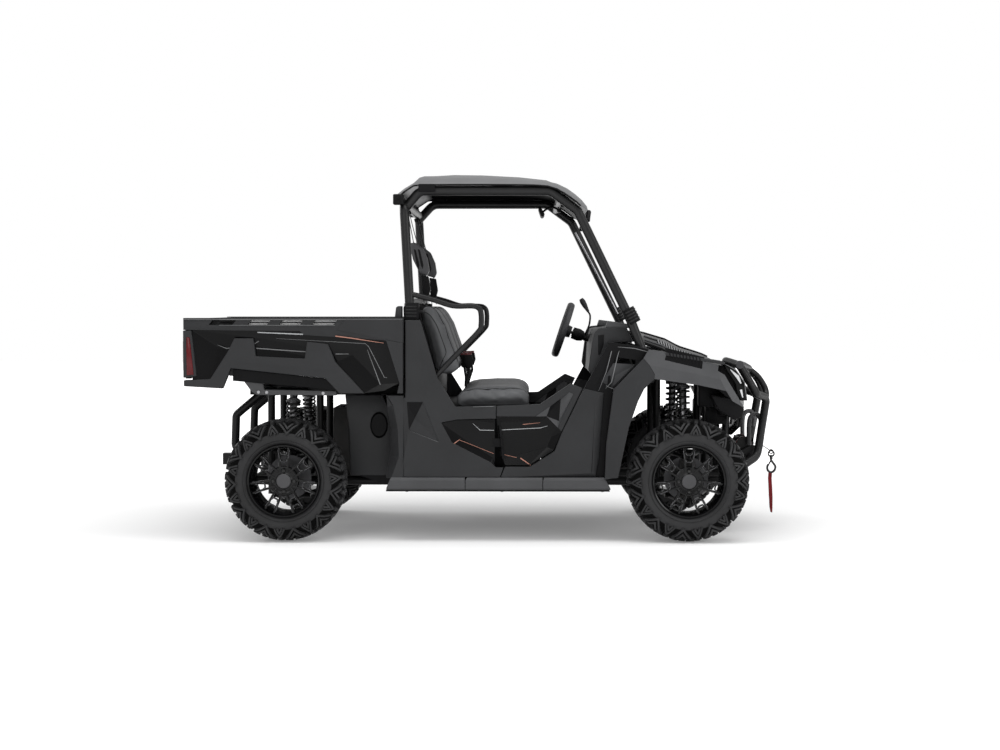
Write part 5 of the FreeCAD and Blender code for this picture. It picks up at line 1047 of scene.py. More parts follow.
def piped(holder, name, routes, node):
    tubes = []
    for route in routes:
        spots = []
        for start, end in zip(route, route[1:]):
            steps = max(2, int(math.dist(start, end) / seatMake["pipeStep"]))
            spots += [Vector(start).lerp(Vector(end), index / steps) for index in range(steps)]
        spots.append(Vector(route[-1]))
        found = [holder.closest_point_on_mesh(spot)[1] for spot in spots]
        for _ in range(2):
            middle = [(a + b * 2 + c) / 4 for a, b, c in zip(found, found[1:], found[2:])]
            found = [found[0]] + middle + [found[-1]]
        tubes.append(tube("piping", found, seatMake["piping"], sides=8))
    return placed(name, tubes, "vinylSeam", node, crease=60)


def inPlane(points, y):
    return [(x, y, z) for x, z in points]


seatBase = cushion("seatCushion", prism("seatBase", seatMake["base"], -seatMake["half"], seatMake["half"],
                                        width=seatMake["round"], segments=3, degrees=40), "vinyl",
                   bodyOf["seat_base"])
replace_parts(seatBase, "seat_base")
grooved(seatBase,
        [(1, y, 0.74, 0.9) for y in (-0.2, 0.2)]
        + [(1, y, 0.79, 0.9) for y in (-0.49, -0.3, -0.1, 0.1, 0.3, 0.49)],
        depth=0.0035, width=0.010)
rim = [(-0.160, 0.760), (-0.136, 0.794), (-0.06, 0.812), (0.045, 0.818), (0.15, 0.817), (0.222, 0.805),
       (0.245, 0.768), (0.243, 0.722)]
piped(seatBase, "seatCushionPiping",
      [inPlane(rim, y) for y in (-0.598, 0.598)] + [inPlane(rim[1:7], y) for y in (-0.2, 0.2)], "seat_base")
backPieces = []
for index in (-1, 0, 1):
    middle = index * seatMake["spacing"]
    back = cushion("seatBack" + str(index + 2),
                   prism("back", seatMake["back"], middle - seatMake["backHalf"],
                         middle + seatMake["backHalf"], width=seatMake["round"], segments=3, degrees=40),
                   "vinyl", bodyOf["seat_backs"])
    grooved(back, [(1, middle + share, 0.93, 1.2) for share in (-0.1, -0.034, 0.034, 0.1)], depth=0.0035,
            width=0.010)
    face = [(-0.150, 0.900), (-0.128, 0.920), (-0.215, 1.155), (-0.272, 1.248), (-0.306, 1.262),
            (-0.338, 1.248)]
    side = [(-0.262, 0.905), (-0.205, 1.0), (-0.262, 1.150), (-0.300, 1.205), (-0.335, 1.215)]
    routes = [inPlane(face, middle + way * seatMake["frontPipe"]) for way in (-1, 1)]
    routes += [inPlane(side, middle + way * seatMake["sidePipe"]) for way in (-1, 1)]
    routes.append([(-0.272, middle + share, 1.245) for share in (-0.16, -0.08, 0, 0.08, 0.16)])
    backPieces.append((back, piped(back, back.name + "Piping", routes, "seat_backs")))
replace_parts(backPieces[0][0], "seat_backs")
print("seats padded")


# Belts: webbing over a moulded guide, and a pair of buckles on stalks
def strip(name, points, y, width, thick):
    outline = []
    for way in (1, -1):
        for index in (range(len(points)) if way > 0 else reversed(range(len(points)))):
            before, after = points[max(index - 1, 0)], points[min(index + 1, len(points) - 1)]
            run = Vector((after[0] - before[0], after[1] - before[1])).normalized()
            outline.append((points[index][0] - run.y * way * thick / 2,
                            points[index][1] + run.x * way * thick / 2))
    return prism(name, outline, y - width / 2, y + width / 2, width=0.0007, segments=1, degrees=40)


def curved(points, steps=6):
    # a smooth route through the given points
    spots = [Vector(p) for p in points]
    spots = [spots[0] * 2 - spots[1]] + spots + [spots[-1] * 2 - spots[-2]]
    out = []
    for a, b, c, d in zip(spots, spots[1:], spots[2:], spots[3:]):
        for step in range(steps):
            t = step / steps
            out.append(0.5 * (2 * b + (c - a) * t + (2 * a - 5 * b + 4 * c - d) * t * t
                              + (3 * b - a - 3 * c + d) * t * t * t))
    out.append(spots[-2])
    return out


beltMake = {"y": 0.4, "width": 0.046, "thick": 0.0022, "guideHalf": 0.030, "clipHalf": 0.027,
            "slotHalf": 0.0315, "buckleHalf": 0.013,
            "buttonHalf": 0.010, "buckles": ((0.192, -0.012), (0.222, 0.014)),
            "rear": [(-0.427, 1.764), (-0.416, 1.70), (-0.397, 1.60), (-0.378, 1.50), (-0.362, 1.42),
                     (-0.347, 1.33), (-0.338, 1.262)],
            "loop": [(-0.420, 1.764), (-0.400, 1.68), (-0.376, 1.59), (-0.350, 1.50), (-0.329, 1.42),
                     (-0.316, 1.33), (-0.312, 1.258)],
            "guide": [(-0.418, 1.588), (-0.385, 1.592), (-0.344, 1.560), (-0.318, 1.500), (-0.309, 1.440),
                      (-0.322, 1.412), (-0.360, 1.424), (-0.398, 1.500)],
            "clip": [(-0.352, 1.414), (-0.314, 1.408), (-0.303, 1.340), (-0.314, 1.292), (-0.340, 1.296)]}
webs, guides, clips = [], [], []
for way in (-1, 1):
    y = way * beltMake["y"]
    for route in ("rear", "loop"):
        webs.append(strip("web", [tuple(p) for p in curved(beltMake[route], steps=4)], y, beltMake["width"],
                          beltMake["thick"]))
    guides.append(prism("guide", beltMake["guide"], y - beltMake["guideHalf"], y + beltMake["guideHalf"],
                        width=0.007, segments=3))
    clips.append(prism("clip", beltMake["clip"], y - beltMake["clipHalf"], y + beltMake["clipHalf"],
                       width=0.004, segments=2))
    for shift in (0.0, 0.022):
        slot = [(-0.392 + shift, 1.556), (-0.382 + shift, 1.552), (-0.362 + shift, 1.470),
                (-0.366 + shift, 1.446), (-0.377 + shift, 1.470)]
        clips.append(prism("slot", slot, y - beltMake["slotHalf"], y + beltMake["slotHalf"]))
    clips.append(tube("anchor", [(-0.428, y, 1.762), (-0.422, y, 1.742)], radius=0.016, sides=16))
belts = addPiece("seatBeltWebbing", joinMeshes("seatBeltWebbing", webs), "webbing", bodyOf["seat_belts"])
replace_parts(belts, "seat_belts")
placed("seatBeltGuides", guides, "hubGrey", "seat_belts")
placed("seatBeltClips", clips, "moldedDark", "seat_belts")
bodies, buttons, stalks = [], [], []
for way in (-1, 1):
    for out, lean in beltMake["buckles"]:
        y = way * out
        shape = [(-0.140 + lean, 0.976), (-0.096 + lean, 0.978), (-0.090 + lean, 0.940),
                 (-0.100 + lean, 0.905), (-0.128 + lean, 0.905), (-0.142 + lean, 0.938)]
        bodies.append(prism("buckle", shape, y - beltMake["buckleHalf"], y + beltMake["buckleHalf"],
                            width=0.004, segments=3))
        buttons.append(prism("button",
                             [(-0.137 + lean, 0.972), (-0.137 + lean, 0.987), (-0.099 + lean, 0.989),
                              (-0.098 + lean, 0.974)],
                             y - beltMake["buttonHalf"], y + beltMake["buttonHalf"],
                             width=0.002, segments=2))
        stalks.append(tube("stalk",
                           curved([(-0.114 + lean, y, 0.908), (-0.110 + lean, y, 0.880),
                                   (-0.112 + lean / 2, y, 0.850), (-0.120, y, 0.800)]), radius=0.0075,
                           sides=12))
placed("buckleBodies", bodies, "moldedDark", "seat_belts")
placed("buckleButtons", buttons, "redPlastic", "seat_belts")
placed("buckleStalks", stalks, "gripRubber", "seat_belts")
print("belts made")

# Steering wheel: padded rim, three spokes, hub with its horn pad
wheelMake = {"centre": (0.440, 0.380, 1.107), "tilt": 18.4, "radius": 0.152, "grip": 0.0145,
             "gripDepth": 0.021,
             "section": 20, "screwsAlong": 0.128, "screwsOut": 0.026, "screwLong": 0.012}
tilt = math.radians(wheelMake["tilt"])
wheelAxis = Vector((math.cos(tilt), 0, -math.sin(tilt)))
wheelUp = Vector((math.sin(tilt), 0, math.cos(tilt)))
wheelSide = Vector((0, 1, 0))
hubAt = Vector(wheelMake["centre"])


def onWheel(across, up, along=0.0):
    return hubAt + wheelSide * across + wheelUp * up + wheelAxis * along


section = [(-0.006 + wheelMake["gripDepth"] * math.cos(a),
            wheelMake["radius"] + wheelMake["grip"] * math.sin(a))
           for a in (2 * math.pi * i / wheelMake["section"] for i in range(wheelMake["section"]))]
grip = [lathe("ring", section, hubAt, wheelAxis, segments=80, closed=True)]
hubs, metal = [], []
for angle in (180, 68, -68):
    turn = math.radians(angle)
    way = (math.sin(turn), math.cos(turn))
    spots = [onWheel(way[0] * r, way[1] * r, along)
             for r, along in ((0.02, 0.010), (0.07, 0.008), (0.115, 0.002), (0.150, 0))]
    for shift in (-0.011, 0.011):
        offset = (way[1] * shift, -way[0] * shift)
        spoke = [p + wheelSide * offset[0] + wheelUp * offset[1] for p in spots]
        metal.append(tube("spoke", curved(spoke, steps=3), radius=0.0058, sides=10))
hubs.append(lathe("hub", [(-0.012, 0.0001), (-0.012, 0.030), (-0.006, 0.040), (0.012, 0.042),
                          (0.020, 0.036), (0.042, 0.033), (0.043, 0.0001)],
                  hubAt, wheelAxis, segments=40))
hubs.append(lathe("shaft", [(0.030, 0.0001), (0.030, 0.009), (0.108, 0.009), (0.108, 0.0001)], hubAt,
                  wheelAxis, segments=20))
placed("steeringWheelRim", grip, "gripGrey", "steering_wheel", replaces=True, crease=creases["soft"])
placed("steeringWheelSpokes", metal, "chassisSteel", "steering_wheel", crease=40)
placed("steeringWheelHub", hubs, "gripRubber", "steering_wheel", crease=40)
collar = [lathe("columnCollar", [(0.052, 0.0245), (0.052, 0.034), (0.090, 0.036), (0.118, 0.028),
                                 (0.118, 0.0245)], hubAt, wheelAxis, segments=32, closed=True)]
for turn in (40, 140, 220, 320):
    outward = wheelSide * math.sin(math.radians(turn)) + wheelUp * math.cos(math.radians(turn))
    centre = hubAt + wheelAxis * wheelMake["screwsAlong"] + outward * wheelMake["screwsOut"]
    collar.append(tube("bolt", [centre, centre + wheelAxis * wheelMake["screwLong"]], radius=0.004,
                       sides=6))
placed("columnCollar", collar, "moldedDark", "steering_column")
print("steering wheel made")

# Springs: coils over a damper body, between the arm and the tower
springMake = {"wire": 0.0056, "radius": 0.0345, "turns": 8.5, "steps": 20, "closed": 0.012, "lowGap": 0.045,
              "topGap": 0.050,
              "rod": 0.55, "body": 0.42}
shocks = {"front_shocks": {"x": 1.074, "low": (0.425, 0.478), "top": (0.333, 0.848)},
          "rear_shocks": {"x": -1.060, "low": (0.425, 0.476), "top": (0.333, 0.768)}}


def coil(start, end, spec):
    axis = (end - start).normalized()
    side = Vector((1, 0, 0))
    other = axis.cross(side)
    count = int(spec["turns"] * spec["steps"])
    points = []
    for index in range(count + 1):
        share = index / count
        turn = 2 * math.pi * spec["turns"] * share
        closing = min(1, share * spec["turns"], (1 - share) * spec["turns"])
        along = share + (1 if share < 0.5 else -1) * spec["closed"] * (1 - closing)
        points.append(start.lerp(end, along) + (side * math.cos(turn) + other * math.sin(turn))
                      * spec["radius"])
    return tube("coil", points, spec["wire"], sides=10)


for node, spec in shocks.items():
    coils, dampers, caps = [], [], []
    for way in (-1, 1):
        low = Vector((spec["x"], way * spec["low"][0], spec["low"][1]))
        top = Vector((spec["x"], way * spec["top"][0], spec["top"][1]))
        axis = (top - low).normalized()
        length = (top - low).length
        coils.append(coil(low + axis * springMake["lowGap"], top - axis * springMake["topGap"], springMake))
        dampers.append(lathe("rod", [(0.0, 0.0001), (0.0, 0.009), (length * springMake["rod"], 0.009),
                                     (length * springMake["rod"], 0.0001)], low, axis, segments=16))
        dampers.append(lathe("body",
                             [(length * springMake["body"], 0.0001), (length * springMake["body"], 0.021),
                              (length - 0.004, 0.021), (length - 0.004, 0.0001)], low, axis, segments=24))
        caps.append(lathe("seatLow", [(0.030, 0.0001), (0.030, 0.024), (0.036, 0.040), (0.046, 0.040),
                                      (0.046, 0.0001)], low, axis, segments=32))
        caps.append(lathe("seatTop",
                          [(length - 0.052, 0.0001), (length - 0.052, 0.040), (length - 0.040, 0.040),
                           (length - 0.030, 0.026), (length - 0.030, 0.0001)],
                          low, axis, segments=32))
        for place in (low, top):
            caps.append(tube("eye", [place + Vector((-0.022, 0, 0)), place + Vector((0.022, 0, 0))],
                             radius=0.015, sides=20))
            caps.append(tube("eyeBolt", [place + Vector((-0.036, 0, 0)), place + Vector((0.036, 0, 0))],
                             radius=0.007, sides=6))
    placed(node + "Coils", coils, "springSteel", node, replaces=True, crease=40)
    placed(node + "Dampers", dampers, "brightSteel", node, crease=40)
    placed(node + "Caps", caps, "castAlloy", node, crease=40)
print("springs made")


# Roof: crowned shell rolled down over the side tubes, ribbed lengthwise, with a dark lining
roofMake = {"rows": [(-0.494, 1.842, -0.472, 1.808), (-0.436, 1.884, -0.430, 1.850),
                     (-0.384, 1.914, -0.378, 1.884), (-0.356, 1.950, -0.346, 1.888),
                     (-0.335, 1.957, -0.318, 1.889), (-0.180, 1.959, -0.180, 1.890),
                     (-0.020, 1.957, -0.020, 1.890), (0.180, 1.946, 0.150, 1.889),
                     (0.330, 1.929, 0.262, 1.887), (0.400, 1.908, 0.330, 1.882),
                     (0.450, 1.882, 0.376, 1.868), (0.492, 1.851, 0.416, 1.846),
                     (0.528, 1.818, 0.452, 1.822), (0.554, 1.783, 0.484, 1.798),
                     (0.561, 1.752, 0.505, 1.778)],
            "cross": [(0.0, 0.0, 0.0), (0.085, 0.0, 0.0), (0.095, 0.007, 0.0), (0.165, 0.007, 0.0),
                      (0.175, 0.0, 0.01), (0.255, 0.0, 0.03), (0.265, 0.007, 0.03), (0.335, 0.007, 0.05),
                      (0.345, 0.0, 0.06), (0.46, 0.0, 0.14), (0.56, 0.0, 0.28), (0.62, 0.0, 0.48),
                      (0.655, 0.0, 0.70), (0.678, 0.0, 0.90), (0.686, 0.0, 1.0)],
            "wall": 0.005, "ribbed": (-0.3, 0.4), "crease": 28, "liningRows": (3, 12), "liningDrop": 0.010,
            "liningLift": 0.004,
            "liningInset": 0.06, "liningWall": 0.006, "beadY": 0.684, "clampY": 0.664, "clampHalf": 0.026,
            "gussetY": 0.668,
            "gussetHalf": 0.024, "boltY": (0.688, 0.696), "visor": 0.012}


def roofSheet(drop, rows, inset=0.0):
    cross = [(-y, rib, fall) for y, rib, fall in reversed(roofMake["cross"][1:])] + roofMake["cross"]
    verts, faces = [], []
    for x, z, edgeX, edgeZ in rows:
        for y, rib, fall in cross:
            ribs = rib if roofMake["ribbed"][0] < x < roofMake["ribbed"][1] else 0
            verts.append((x + (edgeX - x) * fall, y * (1 - inset), z + ribs + (edgeZ - z) * fall - drop))
    wide = len(cross)
    for row in range(len(rows) - 1):
        for index in range(wide - 1):
            a = row * wide + index
            faces.append((a, a + 1, a + wide + 1, a + wide))
    return verts, faces, wide


def thickSheet(name, top, low):
    verts, faces, wide = top
    count = len(verts)
    rows = count // wide
    border = [(i, i + 1) for i in range(wide - 1)]
    border += [(i * wide + wide - 1, (i + 1) * wide + wide - 1) for i in range(rows - 1)]
    border += [((rows - 1) * wide + i + 1, (rows - 1) * wide + i) for i in range(wide - 1)]
    border += [((i + 1) * wide, i * wide) for i in range(rows - 1)]
    solid = faces + [tuple(count + i for i in reversed(face)) for face in faces]
    solid += [(a, b, count + b, count + a) for a, b in border]
    return outwards(meshOf(name, verts + low[0], solid))


shell = thickSheet("roofShell", roofSheet(0, roofMake["rows"]),
                   roofSheet(roofMake["wall"], roofMake["rows"]))
placed("roofShell", [shell], "roofShell", "roof", replaces=True, crease=roofMake["crease"])
lining = [(x, z - roofMake["liningDrop"], ex, ez + roofMake["liningLift"])
          for x, z, ex, ez in roofMake["rows"][slice(*roofMake["liningRows"])]]
sheets = [roofSheet(drop, lining, roofMake["liningInset"]) for drop in (0, roofMake["liningWall"])]
placed("roofLining", [thickSheet("lining", *sheets)], "moldedDark", "roof", crease=roofMake["crease"])
trim = []
for way in (-1, 1):
    trim.append(tube("edgeBead",
                     [(ex, way * roofMake["beadY"], ez - 0.003) for x, z, ex, ez in roofMake["rows"]],
                     radius=0.0045, sides=10))
    clamp = [way * roofMake["clampY"] + half for half in (-roofMake["clampHalf"], roofMake["clampHalf"])]
    trim.append(cuboid("clampRear", (-0.486, clamp[0], 1.782), (-0.430, clamp[1], 1.838), width=0.007,
                       segments=3))
    for z in (1.798, 1.822):
        trim.append(tube("clampBolt", [(-0.458, way * out, z) for out in roofMake["boltY"]], radius=0.0085,
                         sides=6))
    gusset = [way * roofMake["gussetY"] + half
              for half in (-roofMake["gussetHalf"], roofMake["gussetHalf"])]
    trim.append(cuboid("gusset", (-0.352, gusset[0], 1.848), (-0.262, gusset[1], 1.891), width=0.004,
                       segments=2))
trim.append(tube("visorLip", [(0.552, -0.56, 1.748), (0.552, 0.56, 1.748)], roofMake["visor"], sides=16))
trim += [tube("visorEnd", [(0.545, way * 0.60, 1.700), (0.548, way * 0.585, 1.725),
                           (0.552, way * 0.56, 1.748)], roofMake["visor"], sides=16) for way in (-1, 1)]
placed("roofTrim", trim, "moldedDark", "roof")
print("roof made")

# Pillar collars, slim windscreen channel and the interior mirror
cageMake = {"pillarY": 0.661, "collarHalf": 0.031, "ribHalf": 0.033, "ribHigh": 0.007,
            "lean": (0.462, 0, -0.887), "frontHalf": 0.042,
            "ringHalf": 0.0035, "channelY": 0.626,
            "channel": ((0.512, 1.690), (0.640, 1.446), (0.768, 1.200)), "clip": 0.030}
collars, ribs, rails = [], [], []
for way in (-1, 1):
    y = way * cageMake["pillarY"]
    collars.append(prism("collar", [(-0.430, 1.174), (-0.352, 1.174), (-0.350, 1.262), (-0.418, 1.262),
                                    (-0.432, 1.240)], y - cageMake["collarHalf"],
                         y + cageMake["collarHalf"], width=0.005, segments=2))
    for z in (1.190, 1.207, 1.224, 1.241):
        ribs.append(cuboid("rib", (-0.420, y - cageMake["ribHalf"], z),
                           (-0.362, y + cageMake["ribHalf"], z + cageMake["ribHigh"]), width=0.002,
                           segments=2))
    lean = Vector(cageMake["lean"])
    foot = Vector((0.775, y, 1.196))
    collars.append(tube("collarFront",
                        [foot - lean * cageMake["frontHalf"], foot + lean * cageMake["frontHalf"]],
                        radius=0.0325, sides=24))
    for shift in (-0.026, -0.009, 0.008, 0.025):
        ends = [foot + lean * (shift + half) for half in (-cageMake["ringHalf"], cageMake["ringHalf"])]
        ribs.append(tube("ringFront", ends, radius=0.0350, sides=24))
    channel = [Vector((x, way * cageMake["channelY"], z)) for x, z in cageMake["channel"]]
    rails.append(tube("screenChannel", channel, radius=0.006, sides=8))
    for share in (0.08, 0.5, 0.92):
        spot = channel[0].lerp(channel[-1], share)
        rails.append(tube("channelClip", [spot, spot + Vector((0, way * cageMake["clip"], 0))],
                          radius=0.005, sides=8))
placed("pillarCollars", collars, "moldedDark", "roll_cage")
placed("pillarCollarRibs", ribs, "cageSteel", "roll_cage")
placed("screenChannels", rails, "brightSteel", "roll_cage")
mirrorShell = prism("mirrorShell", [(0.284, 1.796), (0.296, 1.806), (0.322, 1.760), (0.312, 1.746),
                                    (0.300, 1.748)], -0.112, 0.112, width=0.006, segments=3)
mirrorArm = tube("mirrorArm", curved([(0.312, 0, 1.780), (0.340, 0, 1.800), (0.368, 0, 1.806),
                                      (0.400, 0, 1.790)], steps=4), radius=0.006, sides=12)
clampRing = tube("mirrorClamp", [(0.402, -0.02, 1.788), (0.402, 0.02, 1.788)], roofMake["visor"], sides=16)
placed("cabinMirrorShell", [mirrorShell, mirrorArm, clampRing], "moldedDark", "cabin_mirror", replaces=True)
placed("cabinMirrorGlass", [prism("mirrorGlass",
                                  [(0.2855, 1.7925), (0.2875, 1.7945), (0.3015, 1.7525), (0.2995, 1.7505)],
                                  -0.104, 0.104)], "mirrorGlass", "cabin_mirror")

# Hip bars beside the seats
hipRoute = [(-0.400, 1.306), (-0.375, 1.306), (-0.276, 1.281), (-0.172, 1.249), (-0.070, 1.248),
            (-0.036, 1.238), (-0.022, 1.212), (-0.021, 1.150), (-0.036, 1.110), (-0.150, 0.992),
            (-0.262, 0.876), (-0.372, 0.764), (-0.402, 0.740)]
hips = [tube("hipBar", curved([(x, way * cageMake["pillarY"], z) for x, z in hipRoute], steps=5),
             radius=0.0145, sides=14) for way in (-1, 1)]
placed("hipBarTubes", hips, "cageSteel", "hip_bars", replaces=True, crease=creases["soft"])
print("cage fittings made")

# Front guard: side tubes that turn in at the elbow to a bowed centre hoop
guard = []
for way in (-1, 1):
    side = [(1.386, way * 0.315, 0.926), (1.432, way * 0.315, 0.850), (1.474, way * 0.310, 0.780),
            (1.492, way * 0.285, 0.760), (1.535, way * 0.215, 0.744), (1.549, way * 0.190, 0.722),
            (1.546, way * 0.188, 0.690), (1.524, way * 0.200, 0.560), (1.506, way * 0.215, 0.452),
            (1.488, way * 0.235, 0.414), (1.448, way * 0.262, 0.388), (1.350, way * 0.300, 0.330)]
    guard.append(tube("guardSide", curved(side, steps=5), radius=0.0225, sides=16))
    guard.append(tube("guardInner",
                      curved([(1.470, way * 0.085, 0.893), (1.520, way * 0.085, 0.850),
                              (1.556, way * 0.100, 0.790), (1.560, way * 0.130, 0.748),
                              (1.545, way * 0.190, 0.730)], steps=5), radius=0.017, sides=14))
bow = [(1.386, -0.344, 0.926), (1.392, -0.300, 0.925), (1.430, -0.200, 0.912), (1.462, -0.100, 0.898),
       (1.470, 0, 0.894), (1.462, 0.100, 0.898), (1.430, 0.200, 0.912), (1.392, 0.300, 0.925),
       (1.386, 0.344, 0.926)]
guard.append(tube("guardBow", curved(bow, steps=5), radius=0.0225, sides=18))
guard.append(tube("guardCross", [(1.470, -0.245, 0.402), (1.470, 0.245, 0.402)], radius=0.019, sides=16))
guard.append(cuboid("guardPlate", (1.348, -0.115, 0.412), (1.475, 0.115, 0.420), width=0.002))
for way in (-1, 1):
    guard.append(prism("guardLug", [(1.352, 0.322), (1.500, 0.400), (1.500, 0.470), (1.470, 0.470),
                                    (1.352, 0.400)], way * 0.14 - 0.004, way * 0.14 + 0.004, width=0.0015))
placed("frontGuardTubes", guard, "cageSteel", "front_bumper", replaces=True, crease=creases["soft"])
caps = [lathe("guardCap", [(0, 0.0001), (0, 0.0225), (0.004, 0.0225), (0.006, 0.020), (0.006, 0.0001)],
              (1.386, way * 0.344, 0.926), (0, way, 0), segments=32) for way in (-1, 1)]
placed("frontGuardCaps", caps, "gripGrey", "front_bumper")
loops = [tube("towLoop", curved([(1.462, way * 0.150, 0.470), (1.462, way * 0.150, 0.590),
                                 (1.475, way * 0.150, 0.634), (1.505, way * 0.150, 0.644),
                                 (1.526, way * 0.150, 0.615), (1.524, way * 0.165, 0.560)], steps=4),
              radius=0.013, sides=12) for way in (-1, 1)]
placed("towLoops", loops, "hubGrey", "front_bumper")

# Winch: motor and gearbox either side of the drum, roller fairlead with a red band
winchAt = (1.440, 0, 0.4726)
motor = [lathe("winchMotor", [(0.066, 0.0001), (0.066, 0.041), (0.070, 0.043), (0.107, 0.043),
                              (0.111, 0.040), (0.111, 0.0001)], winchAt, (0, way, 0), segments=40)
         for way in (-1, 1)]
motor.append(tube("winchDrum", [(winchAt[0], y, winchAt[2]) for y in (-0.068, 0.068)], radius=0.0256,
                  sides=32))
motor += [cuboid("tieBar", (1.405, -0.100, z), (1.417, 0.100, z + 0.012), width=0.003)
          for z in (0.436, 0.500)]
motor += [cuboid("fairlead", (1.484, -0.075, z), (1.498, 0.075, z + 0.025), width=0.003)
          for z in (0.484, 0.436)]
motor += [cuboid("fairleadEnd", (1.484, way * 0.063 - 0.012, 0.440), (1.498, way * 0.063 + 0.012, 0.505),
                 width=0.003) for way in (-1, 1)]
motor.append(cuboid("winchFoot", (1.402, -0.108, 0.420), (1.480, 0.108, 0.431), width=0.002))
placed("winchBody", motor, "chassisSteel", "winch", replaces=True)
bands = [lathe("winchBand", [(0.098, 0.0425), (0.098, 0.0445), (0.106, 0.0445), (0.106, 0.0425)], winchAt,
               (0, way, 0), segments=40, closed=True) for way in (-1, 1)]
placed("winchBands", bands, "redPlastic", "winch")

# Winch line out to its thimble, with the hook and its red pull strap hanging from it
lineMake = {"points": [(1.4658, 0, 0.4726), (1.5242, 0, 0.4726), (1.5616, 0, 0.4573), (1.5956, 0, 0.4318)],
            "diameter": 0.005}
lineCurve = bpy.data.curves.new("winchLineRope", "CURVE")
lineCurve.dimensions = "3D"
spline = lineCurve.splines.new("NURBS")
spline.points.add(len(lineMake["points"]) - 1)
for point, place in zip(spline.points, lineMake["points"]):
    point.co = (*place, 1)
spline.order_u = 3
spline.use_endpoint_u = True
spline.resolution_u = 24
rope = bpy.data.objects.new("winchLineRope", lineCurve)
bpy.context.scene.collection.objects.link(rope)
bpy.context.view_layer.update()
centreline = bpy.data.meshes.new_from_object(rope.evaluated_get(bpy.context.evaluated_depsgraph_get()))
lineCurve.bevel_depth = lineMake["diameter"] / 2
lineCurve.bevel_resolution = 4
lineCurve.use_fill_caps = True
lineCurve.materials.append(looks["springSteel"])
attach(rope, bodyOf["winch_line"])
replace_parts(rope, "winch_line")
eye = Vector((1.6070, 0, 0.4233))
hookMake = {"eyeRadius": 0.0165, "eyeDrop": -0.012, "eyeSteps": 24, "half": 0.0105, "flareFrom": -0.30,
            "flare": (0.10, 0.14), "drop": 0.002}
thimble = lathe("thimble", [(-0.0045, 0.0085), (-0.0045, 0.0135), (0, 0.0115), (0.0045, 0.0135),
                            (0.0045, 0.0085)], eye, (0, 1, 0), segments=32, closed=True)
turns = [2 * math.pi * i / hookMake["eyeSteps"] for i in range(hookMake["eyeSteps"])]
hookRing = [eye + Vector((hookMake["eyeRadius"] * math.sin(a), 0,
                          hookMake["eyeDrop"] + hookMake["eyeRadius"] * math.cos(a))) for a in turns]
shank = [tube("hookEye", hookRing, radius=0.0042, sides=10, closed=True)]
body = [(0, -0.026), (0, -0.048), (0.012, -0.066), (0.024, -0.086), (0.018, -0.108), (0, -0.118),
        (-0.018, -0.108), (-0.022, -0.088), (-0.016, -0.072)]
swivel = [thimble, shank.pop(),
          tube("hookSwivel", [eye + Vector((0, 0, -0.020)), eye + Vector((0, 0, -0.042))], radius=0.0085,
               sides=16)]
shank.append(tube("hookBody", curved([eye + Vector((x, 0, z)) for x, z in body], steps=5), radius=0.0062,
                  sides=12))
shank.append(tube("hookGate", [eye + Vector((-0.002, 0, -0.052)), eye + Vector((-0.017, 0, -0.080))],
                  radius=0.0038, sides=10))
thimblePiece = placed("winchThimble", swivel, "springSteel", "winch_hook", replaces=True,
                      crease=creases["soft"])
placed("winchHookSteel", shank, "springSteel", "winch_hook", crease=creases["soft"])
strapLine = [(-0.004, -0.112), (-0.007, -0.150), (-0.004, -0.200), (-0.001, -0.260), (0.001, -0.318),
             (0.004, -0.345)]
taper = [max(0, hookMake["flareFrom"] - z) for x, z in strapLine]
strapLeft = [(eye.x + x - hookMake["half"] + more * hookMake["flare"][0], eye.z + z)
             for (x, z), more in zip(strapLine, taper)]
strapRight = [(eye.x + x + hookMake["half"] - more * hookMake["flare"][1], eye.z + z - hookMake["drop"])
              for (x, z), more in zip(strapLine, taper)]
placed("winchHookStrap", [prism("strap", strapLeft + strapRight[::-1], -0.0022, 0.0022, width=0.0008,
                                segments=1)], "redWebbing", "winch_hook")
stitches = [cuboid("stitch", (eye.x - 0.0135, -0.0028, eye.z + z),
                   (eye.x + 0.0045, 0.0028, eye.z + z + 0.0012)) for z in (-0.132, -0.137, -0.142)]
placed("winchHookStitch", stitches, "webbing", "winch_hook")

# Hood strips laid on its surface, their slats in painted highlight grey; headlamp parts with strips of
# painted highlight; the dark cheeks under them
hoodMake = {"above": 1.6, "slats": 19, "first": 0.935, "pitch": 0.0145, "long": 0.007, "inner": 0.352,
            "outer": 0.436, "narrow": 0.0006, "lift": 0.001,
            "height": 0.006, "start": 0.86, "run": 0.03, "sunk": 0.002, "ribs": (-0.2, -0.1, 0, 0.1, 0.2),
            "ribRadius": 0.008,
            "beadSteps": 12, "beadFan": 0.03, "beadFrom": 0.93, "ribSteps": 13, "ribSpread": 1.15,
            "ribFan": 0.35, "ribFrom": 0.85}
hoodMesh = nodes["hood"].data
hoodTree = BVHTree.FromPolygons([v.co for v in hoodMesh.vertices],
                                [tuple(p.vertices) for p in hoodMesh.polygons])


def onHood(x, y, lift):
    return (x, y, hoodTree.ray_cast(Vector((x, y, hoodMake["above"])), Vector((0, 0, -1)))[0].z + lift)


def hoodRoute(count, across):
    # a line along the hood, across(x) out from its middle
    return [onHood(x, across(x), hoodMake["sunk"])
            for x in (hoodMake["start"] + hoodMake["run"] * i for i in range(count))]


